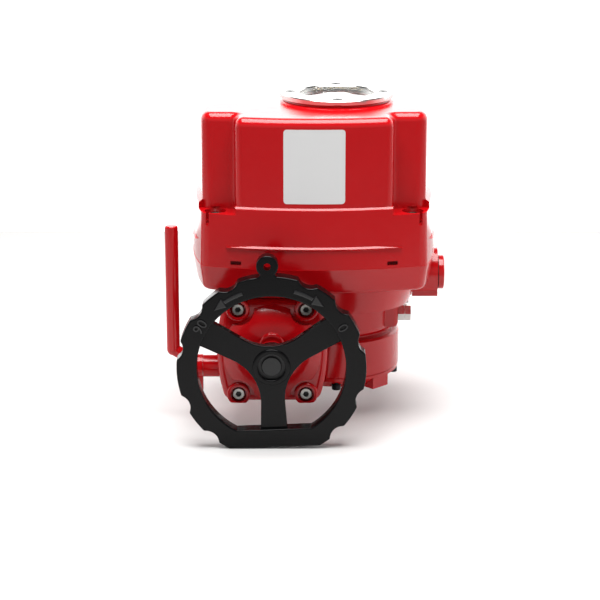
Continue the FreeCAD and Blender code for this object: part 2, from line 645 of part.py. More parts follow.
def base_housing():
    """The main casting: worm-wheel drum, worm tunnel, gear case and the tray of the control compartment."""
    drum = revolve_z([(0, PLATE_HEIGHT), (DRUM_RADIUS - DRUM_EDGE, PLATE_HEIGHT),
                      (DRUM_RADIUS, PLATE_HEIGHT + DRUM_EDGE), (DRUM_RADIUS, DRUM_TOP - 2),
                      (DRUM_RADIUS - 2, DRUM_TOP), (NECK_RADIUS - 2.6, DRUM_TOP), (NECK_RADIUS - 2.6, DRUM_TOP + 3),
                      (NECK_RADIUS - 1, DRUM_TOP + 6), (NECK_RADIUS, DRUM_TOP + 10),
                      (NECK_RADIUS, BOWL_BOTTOM + 1), (0, BOWL_BOTTOM + 1)])
    case = gear_case_prism(JOINT_Y, GEAR_CASE_BACK - JOINT_Y + WALL)
    tunnel = rod_y(TUNNEL_OUTER, JOINT_Y + 10, TUNNEL_BACK)
    saddle = block(WORM_X - TUNNEL_OUTER, WORM_X + TUNNEL_OUTER, GEAR_CASE_BACK, TUNNEL_BACK - 8,
                   WORM_HEIGHT, BOWL_BOTTOM + 1)
    web = block(WORM_X, 0, GEAR_CASE_BACK - 18, TUNNEL_BACK - 8, PLATE_HEIGHT, WORM_HEIGHT)
    bowl = bowed_loft([BOWL_FOOT, inset(BOWL_TOP, 0)])
    tray = bowed_loft([TRAY_FOOT, TRAY_RIM])
    tray = tray.makeFillet(TRAY_ROUND, [e for e in tray.Edges if e.BoundBox.ZMax < TRAY_BOTTOM + 0.01])
    lever_boss = rod_x(LEVER_SEAT_RADIUS, LEVER_PLATE_IN + SEAT, WORM_X - 40, LEVER_Y, LEVER_Z)
    entry = conduit_boss()
    outer = join([drum, case, tunnel, saddle, web, bowl, tray, lever_boss, entry, stop_pad()], tidy=False)

    bowl_room = bowed_loft([inset(BOWL_FOOT, WALL, CASE_FLOOR), inset(BOWL_TOP, WALL, TRAY_BOTTOM + WALL)])
    tray_room = bowed_loft([inset(TRAY_RIM, WALL + 3, TRAY_BOTTOM + WALL), inset(TRAY_RIM, WALL, SEAM_HEIGHT + 1)])
    for x, y in corners_of_case():
        tray_room = tray_room.cut(rod_z(BOLT_BOSS_RADIUS, TRAY_BOTTOM, SEAM_HEIGHT + 2, x, y))
    bowl_room = bowl_room.cut(gear_case_prism(JOINT_Y - COVER_NICHE, COVER_NICHE + WALL, -COVER_GAP - WALL))
    for x, z in case_screw_places():
        bowl_room = bowl_room.cut(rod_y(CASE_SCREW_RADIUS + WALL, JOINT_Y, CASE_SCREW_TIP + WALL, x, z))
    cuts = [bowl_room, tray_room]
    cuts.append(gear_case_prism(JOINT_Y - COVER_NICHE, COVER_NICHE, -COVER_GAP))
    cuts.append(rod_z(DRUM_RADIUS, -5, PLATE_HEIGHT))
    cuts.append(rod_y(TUNNEL_OUTER + COVER_GAP, TUNNEL_BACK, TUNNEL_BACK + COVER_NICHE))
    cuts.append(rod_z(WHEEL_CAVITY, PLATE_HEIGHT - 1, WHEEL_CAVITY_TOP))
    cuts.append(rod_z(CAM_CAVITY, WHEEL_CAVITY_TOP - 1, CAM_CAVITY_TOP))
    cuts.append(rod_z(BUSH_HIGH_OUTER, CAM_CAVITY_TOP - 1, CASE_FLOOR + 1))
    cuts.append(rod_y(BEARING_OUTER, -BEARING_PLACE - BEARING_WIDTH, TUNNEL_BACK + 1))
    cuts.append(rod_y(BEARING_OUTER - BEARING_SHOULDER, GEAR_CASE_BACK - 1, -BEARING_PLACE - BEARING_WIDTH + 1))
    cuts.append(rod_y(GEAR_CAVITY, JOINT_Y - 1, GEAR_CASE_BACK))
    cuts.append(block(WORM_X - IDLER_ROOM, WORM_X + IDLER_ROOM, GEAR_FRONT_Y - 4, GEAR_CASE_BACK,
                      WORM_HEIGHT, CASE_FLOOR + 1))
    cuts.append(block(WORM_X - FORK_ROOM, WORM_X + FORK_ROOM, JOINT_Y - 1, LEVER_Y + 9.5, LEVER_Z - 11, WORM_HEIGHT))
    cuts.append(rod_x(LEVER_SHAFT_RADIUS + RUN, LEVER_PLATE_IN - 1, LEVER_SHAFT_END + 0.5, LEVER_Y, LEVER_Z))
    for side in (-1, 1):
        cuts.append(rod_x(STOP_BOLT_RADIUS, CAM_CAVITY - 14, STOP_FACE_X + 1, side * STOP_Y, STOP_Z))
    for x, y in corners_of_case():
        cuts.append(rod_z(BOLT_RADIUS, BOLT_TIP_Z - 2, SEAM_HEIGHT + 1, x, y))
    for x, y in plate_screw_places():
        cuts.append(rod_z(PLATE_SCREW[0], PLATE_HEIGHT - 1, PLATE_SCREW_SEAT + PLATE_SCREW[3], x, y))
    for x, z in case_screw_places():
        cuts.append(rod_y(CASE_SCREW_RADIUS, JOINT_Y - 1, CASE_SCREW_TIP, x, z))
    for x, z in end_cap_screw_places():
        cuts.append(rod_y(END_CAP_SCREW[0], TUNNEL_BACK + END_CAP_THICKNESS - END_CAP_SCREW[3], TUNNEL_BACK + 1, x, z))
    cuts.append(rod_x(CONDUIT_BORE, CONDUIT_ROOT - CONDUIT_BITE, CONDUIT_FACE + 1, CONDUIT_Y, CONDUIT_Z))
    cuts.append(rod_z(EARTH_SCREW[0], TRAY_BOTTOM + WALL - EARTH_SCREW[3], TRAY_BOTTOM + WALL + 1, EARTH_X, EARTH_Y))
    cuts.append(seal_ring(SEAM_HEIGHT - SEAL_DEPTH, SEAM_HEIGHT + 1))
    return outer.cut(Part.makeCompound(cuts))


def gear_case_prism(y, depth, amount=0.0):
    """The gear case's front outline, as a prism that runs back from y."""
    centre = (WORM_X, GEAR_CASE_TOP / 2)
    outline = bowed_outline(0, *inset(CASE_FACE, amount)[1:], centre=centre)
    return stand_up(Part.Face(outline).extrude(vec(0, 0, depth)), y + depth)


def case_screw_places():
    return [(WORM_X + sx * CASE_SCREW_X, z) for sx in (-1, 1) for z in (CASE_SCREW_LOW, CASE_SCREW_HIGH)]


def end_cap_screw_places():
    radius = (TUNNEL_OUTER + BEARING_OUTER) / 2
    return [(WORM_X + radius * math.cos(math.radians(45 + 90 * i)),
             WORM_HEIGHT + radius * math.sin(math.radians(45 + 90 * i))) for i in range(4)]


def conduit_boss():
    """The cable entry on the right: a round boss squared off below."""
    floor = CONDUIT_Z - CONDUIT_FOOT_DROP
    boss = rod_x(CONDUIT_BOSS, CONDUIT_ROOT, CONDUIT_FACE, CONDUIT_Y, CONDUIT_Z + CONDUIT_BOSS_RISE)
    boss = boss.cut(block(CONDUIT_ROOT - 1, CONDUIT_FACE + 1, CONDUIT_Y - CONDUIT_BOSS, CONDUIT_Y + CONDUIT_BOSS,
                          floor - CONDUIT_BOSS, floor))
    foot = block(CONDUIT_ROOT, CONDUIT_FACE, CONDUIT_Y - CONDUIT_FOOT_HALF, CONDUIT_Y + CONDUIT_FOOT_HALF,
                 floor, CONDUIT_Z)
    return boss.fuse(foot)


def stop_pad():
    """The pad on the right that carries both travel-stop bolts, rounded at its sides and below."""
    pad = block(NECK_RADIUS / 2, STOP_FACE_X, -STOP_PAD_HALF, STOP_PAD_HALF, STOP_PAD_FOOT, BOWL_BOTTOM + 1)
    face = [e for e in pad.Edges if e.BoundBox.XMin > STOP_FACE_X - 0.01 and e.BoundBox.ZMin < STOP_PAD_FOOT + 0.01]
    return pad.makeFillet(STOP_PAD_ROUND, face)


def seal_ring(z0, z1):
    """The ring that the cover seal fills, midway in the tray's rim."""
    outer = Part.Face(bowed_outline(z0, *inset(TRAY_RIM, 1.6)[1:])).extrude(vec(0, 0, z1 - z0))
    inner = Part.Face(bowed_outline(z0, *inset(TRAY_RIM, 4.4)[1:])).extrude(vec(0, 0, z1 - z0))
    return outer.cut(inner)


def cover_seal():
    return seal_ring(SEAM_HEIGHT - SEAL_DEPTH, SEAM_HEIGHT)


def top_cover():
    """The deep cover: walls with a raised line, four bolt ears, proud panels and the window boss on top."""
    walls = bowed_loft([COVER_FOOT, EAR_TOP, EAR_ROUND, PANEL_FOOT])
    walls = walls.cut(Part.makeCompound([ear_space(x, y) for x, y in corners_of_case()]))
    boss = revolve_z([(0, COVER_TOP - WALL + 2), (BEZEL_RADIUS + 1, COVER_TOP - WALL + 2),
                      (BEZEL_RADIUS + 1, COVER_TOP), (BEZEL_RADIUS - 2, COVER_TOP + 2),
                      (BEZEL_RADIUS - 3, WINDOW_TOP), (0, WINDOW_TOP)])
    outer = join([walls, cover_ridge(), cover_tower(), boss])

    lower_room = bowed_loft([inset(COVER_FOOT, WALL, SEAM_HEIGHT - 1), inset(EAR_TOP, WALL, BOLT_SEAT_Z - WALL)])
    for x, y in corners_of_case():
        lower_room = lower_room.cut(rod_z(BOLT_BOSS_RADIUS, SEAM_HEIGHT - 2, BOLT_SEAT_Z, x, y))
    for side in (-1, 1):
        pad = pry_slot(side, PRY_SLOT_PAD)
        lower_room = lower_room.cut(pad)
    upper_room = notched_body(inset(PANEL_FOOT, WALL), BOLT_SEAT_Z - WALL - 2, COVER_TOP - WALL,
                              NOTCH_X - WALL, NOTCH_Y - WALL, NOTCH_INNER_FILLET + WALL / 2,
                              NOTCH_OUTER_FILLET - WALL / 2)
    cuts = [lower_room, upper_room]
    cuts.append(rod_z(WINDOW_RADIUS, COVER_TOP - WALL - 1, WINDOW_TOP + 1))
    cuts.append(rod_z(GLASS_RADIUS + 0.5, GLASS_SEAT_Z - GASKET, WINDOW_TOP + 1))
    for x, y in bezel_screw_places():
        cuts.append(rod_z(BEZEL_SCREW[0], WINDOW_TOP - BEZEL_SCREW[3], WINDOW_TOP + 1, x, y))
    for x, y in corners_of_case():
        cuts.append(rod_z(POCKET_RADIUS, BOLT_SEAT_Z, EAR_SEAT + 2.5, x, y))
        cuts.append(rod_z(BOLT_RADIUS + 0.5, SEAM_HEIGHT - 1, BOLT_SEAT_Z + 1, x, y))
        cuts.append(bolt_slot(x, y))
    cuts += [pry_slot(side) for side in (-1, 1)]
    return outer.cut(Part.makeCompound(cuts)).removeSplitter()


def cover_tower():
    """The cover above its ledge: notched corners, proud panels front and back, and a rounded top edge."""
    tower = notched_body(PANEL_FOOT, LEDGE_HIGH - UPPER_ROOT, COVER_TOP, NOTCH_X, NOTCH_Y,
                         NOTCH_INNER_FILLET, NOTCH_OUTER_FILLET)
    panel_y = PANEL_FOOT[2] + bow_reach(PANEL_FOOT[1], PANEL_FOOT[4], NOTCH_X)
    panel_points = [(CASE_X + sx * NOTCH_X, CASE_Y + sy * panel_y) for sx in (-1, 1) for sy in (-1, 1)]
    tower = tower.makeFillet(PANEL_ROUND, vertical_edges(tower, panel_points))
    return tower.makeFillet(COVER_TOP_FILLET, [e for e in tower.Edges if e.BoundBox.ZMin > COVER_TOP - 0.01])


def cover_ridge():
    """A raised line with sloping flanks round the cover's walls, which runs out to a point before each corner."""
    skin = bowed_loft([inset(RIDGE_LINE, RIDGE_ROOT, RIDGE_HEIGHT - RIDGE_HALF),
                       inset(RIDGE_LINE, -RIDGE_PROUD, RIDGE_HEIGHT - RIDGE_NOSE),
                       inset(RIDGE_LINE, -RIDGE_PROUD, RIDGE_HEIGHT + RIDGE_NOSE),
                       inset(RIDGE_LINE, RIDGE_ROOT, RIDGE_HEIGHT + RIDGE_HALF)])
    blades = []
    for reach, turn in ((RIDGE_REACH_X, 0), (RIDGE_REACH_Y, 90)):
        full = reach * RIDGE_TAPER
        points = [vec(-reach, -200, 0), vec(-full, -200, RIDGE_HALF), vec(full, -200, RIDGE_HALF), vec(reach, -200, 0),
                  vec(full, -200, -RIDGE_HALF), vec(-full, -200, -RIDGE_HALF)]
        blade = Part.Face(Part.makePolygon(points + [points[0]])).extrude(vec(0, 400, 0))
        blade.rotate(vec(0, 0, 0), vec(0, 0, 1), turn)
        blade.translate(vec(CASE_X, CASE_Y, RIDGE_HEIGHT))
        blades.append(blade)
    return skin.common(blades[0].fuse(blades[1]))


def ear_space(x, y):
    """What is cut from the walls' ledge to leave a bolt ear: the notch's corner and a round clearing."""
    sx = 1 if x > CASE_X else -1
    sy = 1 if y > CASE_Y else -1
    x0, x1 = sorted((CASE_X + sx * NOTCH_X, x + sx * 2 * EAR_CUT_RADIUS))
    y0, y1 = sorted((CASE_Y + sy * NOTCH_Y, y + sy * 2 * EAR_CUT_RADIUS))
    corner = block(x0, x1, y0, y1, EAR_SEAT, LEDGE_HIGH + 1)
    return corner.fuse(rod_z(EAR_CUT_RADIUS, EAR_SEAT, LEDGE_HIGH + 1, x, y))


def bolt_slot(x, y):
    """The upright drain slot from a bolt's counterbore out through the wall before it."""
    sx = 1 if x > CASE_X else -1
    sy = 1 if y > CASE_Y else -1
    middle = x + sx * BOLT_SLOT_OUT
    y0, y1 = sorted((y, y + sy * 2 * EAR_CUT_RADIUS))
    return block(middle - BOLT_SLOT_WIDTH / 2, middle + BOLT_SLOT_WIDTH / 2, y0, y1,
                 EAR_SEAT - BOLT_SLOT_DEPTH, EAR_SEAT + 2)


def pry_slot(side, margin=0.0):
    """A slot above the seam at the front, for a lever that lifts the cover, with an even margin for its pad."""
    middle = CASE_X + side * PRY_SLOT_X
    wall_y = CASE_Y - COVER_FOOT[2] - bow_reach(COVER_FOOT[1], COVER_FOOT[4], PRY_SLOT_X)
    z0 = SEAM_HEIGHT + PRY_SLOT_RISE
    return block(middle - PRY_SLOT_HALF - margin, middle + PRY_SLOT_HALF + margin, wall_y - WALL,
                 wall_y + PRY_SLOT_DEPTH + margin, z0 - margin, z0 + PRY_SLOT_HEIGHT + margin)


def bezel_screw_places():
    return [(BEZEL_SCREW_CIRCLE * math.cos(math.radians(90 * i)), BEZEL_SCREW_CIRCLE * math.sin(math.radians(90 * i)))
            for i in range(4)]


def window_bezel():
    z0, z1 = WINDOW_TOP, WINDOW_TOP + BEZEL_THICKNESS
    bezel = revolve_z([(WINDOW_RADIUS, z0), (BEZEL_RADIUS, z0), (BEZEL_RADIUS, z1 - 1), (BEZEL_RADIUS - 1, z1),
                       (WINDOW_RADIUS + 1.5, z1), (WINDOW_RADIUS, z1 - 1.5)])
    cuts = []
    for x, y in bezel_screw_places():
        cuts.append(rod_z(BEZEL_SCREW[0] + SCREW_CLEARANCE, z0 - 1, z1 + 1, x, y))
        cuts.append(rod_z(BEZEL_SINK, z1 - BEZEL_SINK_DEPTH, z1 + 1, x, y))
    cuts.append(block(-4, 4, -BEZEL_RADIUS - 1, -BEZEL_RADIUS + 2.5, z0 - 1, z0 + 1.2))
    return bezel.cut(Part.makeCompound(cuts))


def bezel_screws():
    screw = cap_screw(*BEZEL_SCREW)
    seat = WINDOW_TOP + BEZEL_THICKNESS - BEZEL_SINK_DEPTH
    return group([placed(screw, (x, y, seat), (0, 0, 1)) for x, y in bezel_screw_places()])


def window_glass():
    return rod_z(GLASS_RADIUS, GLASS_SEAT_Z, GLASS_SEAT_Z + GLASS_THICKNESS)


def window_gasket():
    return ring_z(GLASS_RADIUS, WINDOW_RADIUS + 0.5, GLASS_SEAT_Z - GASKET, GLASS_SEAT_Z)


def cover_bolts():
    bolt = cap_screw(BOLT_RADIUS, COVER_BOLT_HEAD, COVER_BOLT_HEAD, BOLT_SEAT_Z - BOLT_TIP_Z, COVER_BOLT_SOCKET)
    return group([placed(bolt, (x, y, BOLT_SEAT_Z), (0, 0, 1)) for x, y in corners_of_case()])


def gear_cover():
    """The pillow-shaped front cover: rounded edges, a dome that rises to the wheel shaft and four screw bosses."""
    face = JOINT_Y - GASKET - COVER_FLANGE
    pillow = gear_case_prism(face, COVER_FLANGE)
    rim = [e for e in pillow.Edges if e.BoundBox.YMax < face + 0.01]
    pillow = pillow.makeFillet(COVER_ROUND, rim)
    dome = cover_dome(face)
    for x, z in case_screw_places():
        dome = dome.cut(rod_y(VALLEY_RADIUS, DOME_Y - VALLEY_RADIUS, face - 0.01, x, z))
    bosses = [cover_boss(x, z) for x, z in case_screw_places()]
    outline = gear_case_prism(SNOUT_Y, JOINT_Y - GASKET - SNOUT_Y)
    outer = join([pillow, dome, oil_boss(), join(bosses).common(outline)] + [cover_nub(side) for side in (-1, 1)])
    cuts = [rod_y(GEAR_CAVITY, COVER_ROOM_Y, JOINT_Y)]
    cuts.append(rod_y(SLEEVE_RADIUS + 1.5, HAND_FLANGE_BACK - 1.5, COVER_ROOM_Y + 1))
    cuts.append(rod_y(HAND_BUSH_OUTER, SNOUT_Y - 1, HAND_FLANGE_BACK - 1))
    for x, z in case_screw_places():
        cuts.append(rod_y(CASE_SCREW_RADIUS + 0.5, SCREW_FACE_Y - 1, JOINT_Y, x, z))
        cuts.append(rod_y(SCREW_SINK_RADIUS, SCREW_FACE_Y - VALLEY_RADIUS, SCREW_SEAT_Y, x, z))
    return outer.cut(Part.makeCompound(cuts)).removeSplitter()


def cover_dome(face):
    """The dome's turned form: a swelling flank up to a shoulder and the snout with its rounded mouth."""
    def at(radius, y):
        return vec(WORM_X + radius, y, WORM_HEIGHT)

    foot, shoulder = at(DOME_FOOT, face + 1), at(DOME_SHOULDER, DOME_Y)
    across = (shoulder - foot).cross(vec(0, 0, 1)).normalize()
    flank = Part.Arc(foot, (foot + shoulder) / 2 - across * DOME_BULGE, shoulder).toShape()
    half = SNOUT_ROUND * (1 - math.sqrt(0.5))
    corner = Part.Arc(at(SNOUT_RADIUS, SNOUT_Y + SNOUT_ROUND), at(SNOUT_RADIUS - half, SNOUT_Y + half),
                      at(SNOUT_RADIUS - SNOUT_ROUND, SNOUT_Y)).toShape()
    throat = Part.Arc(shoulder, at(SNOUT_RADIUS + 1.4, DOME_Y - 1.6), at(SNOUT_RADIUS, DOME_Y - 5)).toShape()
    lines = [Part.makeLine(at(0, face + 1), foot), Part.makeLine(at(SNOUT_RADIUS, DOME_Y - 5), corner.Vertexes[0].Point),
             Part.makeLine(corner.Vertexes[-1].Point, at(0, SNOUT_Y)), Part.makeLine(at(0, SNOUT_Y), at(0, face + 1))]
    profile = Part.Wire([lines[0], flank, throat, lines[1], corner, lines[2], lines[3]])
    return Part.Face(profile).revolve(vec(WORM_X, 0, WORM_HEIGHT), vec(0, 1, 0), 360)


def cover_boss(x, z):
    """A screw boss with a rounded rim."""
    boss = rod_y(SCREW_BOSS_RADIUS, SCREW_FACE_Y, JOINT_Y - GASKET - 1, x, z)
    return boss.makeFillet(SCREW_BOSS_ROUND, [e for e in boss.Edges if e.BoundBox.YMax < SCREW_FACE_Y + 0.01])


def oil_boss():
    """The rounded boss above the shaft, where the dome is drilled for oil."""
    z = WORM_HEIGHT + OIL_BOSS_RISE
    boss = rod_y(OIL_BOSS_RADIUS, OIL_BOSS_Y, JOINT_Y - GASKET - COVER_FLANGE, WORM_X, z)
    return boss.makeFillet(OIL_BOSS_ROUND, [e for e in boss.Edges if e.BoundBox.YMax < OIL_BOSS_Y + 0.01])


def cover_nub(side):
    """A small three-cornered cast nub under the cover's lower edge."""
    x = WORM_X + side * NUB_X
    points = [vec(x - NUB_HALF, 0, 2), vec(x, 0, -NUB_DROP), vec(x + NUB_HALF, 0, 2)]
    face = Part.Face(Part.makePolygon(points + [points[0]]))
    nub = face.extrude(vec(0, COVER_FLANGE / 2, 0))
    nub.translate(vec(0, JOINT_Y - GASKET - COVER_FLANGE / 2, 0))
    return nub


def gear_cover_gasket():
    sheet = gear_case_prism(JOINT_Y - GASKET, GASKET)
    holes = [rod_y(GEAR_CAVITY + 1, JOINT_Y - 5, JOINT_Y + 5)]
    holes += [rod_y(CASE_SCREW_RADIUS + 0.5, JOINT_Y - 5, JOINT_Y + 5, x, z) for x, z in case_screw_places()]
    return sheet.cut(Part.makeCompound(holes))


def gear_cover_screws():
    length = CASE_SCREW_TIP - SCREW_SEAT_Y - 1
    screw = cap_screw(CASE_SCREW_RADIUS, CASE_SCREW_HEAD, CASE_SCREW_HEAD_HEIGHT, length, CASE_SCREW_SOCKET)
    return group([placed(screw, (x, SCREW_SEAT_Y, z), (0, -1, 0)) for x, z in case_screw_places()])


def worm_end_cap():
    y0, y1 = TUNNEL_BACK, TUNNEL_BACK + END_CAP_THICKNESS
    bearing_back = BEARING_PLACE + BEARING_WIDTH
    inner = BEARING_OUTER - BEARING_SHOULDER
    cap = revolve_y([(0, y1), (TUNNEL_OUTER - 1, y1), (TUNNEL_OUTER, y1 - 1), (TUNNEL_OUTER, y0), (BEARING_OUTER, y0),
                     (BEARING_OUTER, bearing_back), (inner, bearing_back), (inner, y0), (0, y0)])
    holes = [rod_y(END_CAP_SCREW[0] + SCREW_CLEARANCE, y0 - 1, y1 + 1, x, z) for x, z in end_cap_screw_places()]
    return cap.cut(Part.makeCompound(holes))


def worm_end_cap_screws():
    screw = cap_screw(*END_CAP_SCREW)
    back = TUNNEL_BACK + END_CAP_THICKNESS
    return group([placed(screw, (x, back, z), (0, 1, 0)) for x, z in end_cap_screw_places()])


def worm_bearing(y0):
    """A shielded ball bearing: two races with a shield between them."""
    ring = [(BEARING_BORE, 0), (BEARING_BORE, BEARING_WIDTH), (BEARING_BORE + 3.5, BEARING_WIDTH),
            (BEARING_BORE + 3.5, BEARING_WIDTH - 1), (BEARING_OUTER - 3.5, BEARING_WIDTH - 1),
            (BEARING_OUTER - 3.5, BEARING_WIDTH), (BEARING_OUTER, BEARING_WIDTH), (BEARING_OUTER, 0),
            (BEARING_OUTER - 3.5, 0), (BEARING_OUTER - 3.5, 1), (BEARING_BORE + 3.5, 1), (BEARING_BORE + 3.5, 0)]
    return revolve_y([(r, y0 + y) for r, y in ring])


def worm_shaft():
    """The worm with its journals and, at the front, the splined nose that the clutch sleeve slides on."""
    journal = BEARING_BORE - RUN
    gear_seat = GEAR_BORE - RUN
    nose = JOURNAL_NOSE
    back = BEARING_PLACE + BEARING_WIDTH + 2
    core = revolve_y([(0, WORM_NOSE_Y), (nose - 1, WORM_NOSE_Y), (nose, WORM_NOSE_Y + 1), (nose, GEAR_FRONT_Y - 0.5),
                      (gear_seat, GEAR_FRONT_Y - 0.5), (gear_seat, GEAR_FRONT_Y + GEAR_WIDTH + 1),
                      (journal, GEAR_FRONT_Y + GEAR_WIDTH + 1), (journal, -BEARING_PLACE + SEAT),
                      (WORM_ROOT_RADIUS, -BEARING_PLACE + SEAT), (WORM_ROOT_RADIUS, BEARING_PLACE - SEAT),
                      (journal, BEARING_PLACE - SEAT), (journal, back), (0, back)])
    keys = []
    for i in range(2):
        key = block(WORM_X - 2, WORM_X + 2, WORM_NOSE_Y + 1, GEAR_FRONT_Y - 0.5, WORM_HEIGHT, WORM_HEIGHT + nose + 1.6)
        keys.append(turned(key, 180 * i, vec(WORM_X, 0, WORM_HEIGHT), vec(0, 1, 0)))
    return join([core, worm_thread()] + keys, tidy=False)


def worm_thread():
    """A right-hand thread whose axial section is a 20 degree rack, centred on the wheel."""
    turns = WORM_LENGTH / WORM_LEAD
    inner = WORM_ROOT_RADIUS - 1.0
    slope = math.tan(math.radians(20))
    half_pitch = (math.pi * WORM_MODULE / 2 - WORM_BACKLASH) / 2
    half_root = half_pitch + (WORM_PITCH_RADIUS - inner) * slope
    half_tip = half_pitch - WORM_MODULE * slope
    points = [vec(inner, 0, -half_root), vec(WORM_TIP_RADIUS, 0, -half_tip), vec(WORM_TIP_RADIUS, 0, half_tip),
              vec(inner, 0, half_root)]
    profile = Part.makePolygon(points + [points[0]])
    helix = Part.makeHelix(WORM_LEAD, WORM_LENGTH, WORM_PITCH_RADIUS)
    thread = Part.Wire(helix.Edges).makePipeShell([profile], True, True)
    middle_turn = turns / 2
    thread.translate(vec(0, 0, -WORM_LENGTH / 2))
    thread.rotate(vec(0, 0, 0), vec(0, 0, 1), -360.0 * middle_turn)
    thread.rotate(vec(0, 0, 0), vec(1, 0, 0), -90)
    thread.translate(vec(WORM_X, 0, WORM_HEIGHT))
    return thread


def clutch_gear():
    """The gear that runs free on the worm shaft, with the dogs that drive the sleeve."""
    gear = spur_gear(CLUTCH_GEAR_TEETH, 90.0, GEAR_BORE)
    gear = stand_up(gear, GEAR_FRONT_Y + GEAR_WIDTH)
    gear.translate(vec(WORM_X, 0, WORM_HEIGHT))
    dogs = [seated(d, GEAR_FRONT_Y) for d in dog_ring(DOG_OUTER, DOG_INNER, DOG_LENGTH, 45.0)]
    return join([gear] + dogs)


def seated(shape, y):
    """Carry a shape made on the XY plane to the worm axis, its base at y and its height towards the front."""
    copy = stand_up(shape, y)
    copy.translate(vec(WORM_X, 0, WORM_HEIGHT))
    return copy


def clutch_sleeve():
    """The grooved sleeve that slides on the worm shaft, with dogs on both faces."""
    back = GEAR_FRONT_Y - DOG_LENGTH - DOG_GAP
    front = back - SLEEVE_LENGTH
    bore = JOURNAL_NOSE + RUN
    middle = (front + back) / 2
    body = revolve_y([(bore, front), (SLEEVE_RADIUS, front), (SLEEVE_RADIUS, middle - GROOVE_HALF),
                      (GROOVE_FLOOR, middle - GROOVE_HALF), (GROOVE_FLOOR, middle + GROOVE_HALF),
                      (SLEEVE_RADIUS, middle + GROOVE_HALF), (SLEEVE_RADIUS, back), (bore, back)])
    rear = [seated(d, back + DOG_LENGTH) for d in dog_ring(DOG_OUTER, DOG_INNER, DOG_LENGTH, 0.0)]
    nose = [seated(d, front) for d in dog_ring(DOG_OUTER, DOG_INNER, DOG_LENGTH, 0.0)]
    sleeve = join([body] + rear + nose)
    slots = []
    for i in range(2):
        slot = block(WORM_X - 2.2, WORM_X + 2.2, front - 1, back + 1, WORM_HEIGHT, WORM_HEIGHT + JOURNAL_NOSE + 1.9)
        slots.append(turned(slot, 180 * i, vec(WORM_X, 0, WORM_HEIGHT), vec(0, 1, 0)))
    return sleeve.cut(Part.makeCompound(slots))


def idler_gear():
    gear = spur_gear(IDLER_TEETH, 270.0 + 180.0 / IDLER_TEETH, IDLER_PIN_RADIUS + RUN)
    gear = stand_up(gear, GEAR_FRONT_Y + GEAR_WIDTH)
    gear.translate(vec(WORM_X, 0, IDLER_Z))
    return gear


def idler_pin():
    """The idler's stub axle: pressed into the motor plate, with a washer head in front of the gear."""
    back = MOTOR_PLATE_Y + MOTOR_PLATE_THICKNESS
    pin = revolve_y([(0, GEAR_FRONT_Y - 3), (IDLER_PIN_RADIUS + 3, GEAR_FRONT_Y - 3),
                     (IDLER_PIN_RADIUS + 3, GEAR_FRONT_Y - SEAT), (IDLER_PIN_RADIUS, GEAR_FRONT_Y - SEAT),
                     (IDLER_PIN_RADIUS, back), (0, back)], WORM_X, IDLER_Z)
    return pin


def motor_pinion():
    gear = spur_gear(PINION_TEETH, 270.0 + 180.0 / PINION_TEETH, ROTOR_SHAFT_RADIUS)
    gear = stand_up(gear, GEAR_FRONT_Y + GEAR_WIDTH)
    gear.translate(vec(WORM_X, 0, MOTOR_Z))
    return gear


def motor_rotor():
    front, back = MOTOR_FRONT_Y, MOTOR_FRONT_Y + MOTOR_LENGTH
    shaft = ROTOR_SHAFT_RADIUS
    return revolve_y([(0, GEAR_FRONT_Y - 2), (shaft, GEAR_FRONT_Y - 2), (shaft, front + 12), (ROTOR_RADIUS, front + 12),
                      (ROTOR_RADIUS, back - 12), (shaft, back - 12), (shaft, back - 4), (0, back - 4)],
                     WORM_X, MOTOR_Z)


def motor_body():
    """The motor's stator and end shields: a ribbed barrel bored for the rotor."""
    front, back = MOTOR_FRONT_Y, MOTOR_FRONT_Y + MOTOR_LENGTH
    barrel = rod_y(MOTOR_RADIUS, front, back, WORM_X, MOTOR_Z)
    grooves = []
    for i in range(5):
        y = front + 16 + i * 10
        grooves.append(ring_y(MOTOR_RADIUS + 1, MOTOR_RADIUS - 1.5, y, y + 4, WORM_X, MOTOR_Z))
    room = revolve_y([(0, front - 1), (ROTOR_SHAFT_RADIUS + RUN, front - 1), (ROTOR_SHAFT_RADIUS + RUN, front + 11),
                      (ROTOR_RADIUS + 0.4, front + 11), (ROTOR_RADIUS + 0.4, back - 11),
                      (ROTOR_SHAFT_RADIUS + RUN, back - 11), (ROTOR_SHAFT_RADIUS + RUN, back - 3.5), (0, back - 3.5)],
                     WORM_X, MOTOR_Z)
    return barrel.cut(Part.makeCompound(grooves + [room]))


def motor_plate():
    """The upright plate that carries the motor and the idler's axle, standing on the compartment floor."""
    y0, y1 = MOTOR_PLATE_Y, MOTOR_PLATE_Y + MOTOR_PLATE_THICKNESS
    x0, x1 = WORM_X - MOTOR_PLATE_HALF, WORM_X + MOTOR_PLATE_HALF
    plate = block(x0, x1, y0, y1, CASE_FLOOR, MOTOR_Z + MOTOR_PLATE_ABOVE)
    foot = block(x0, x1, y1, y1 + MOTOR_PLATE_FOOT, CASE_FLOOR, CASE_FLOOR + MOTOR_PLATE_THICKNESS)
    plate = plate.fuse(foot).removeSplitter()
    holes = [rod_y(10, y0 - 1, y1 + 1, WORM_X, MOTOR_Z), rod_y(IDLER_PIN_RADIUS, y0 - 1, y1 + 1, WORM_X, IDLER_Z)]
    return plate.cut(Part.makeCompound(holes))


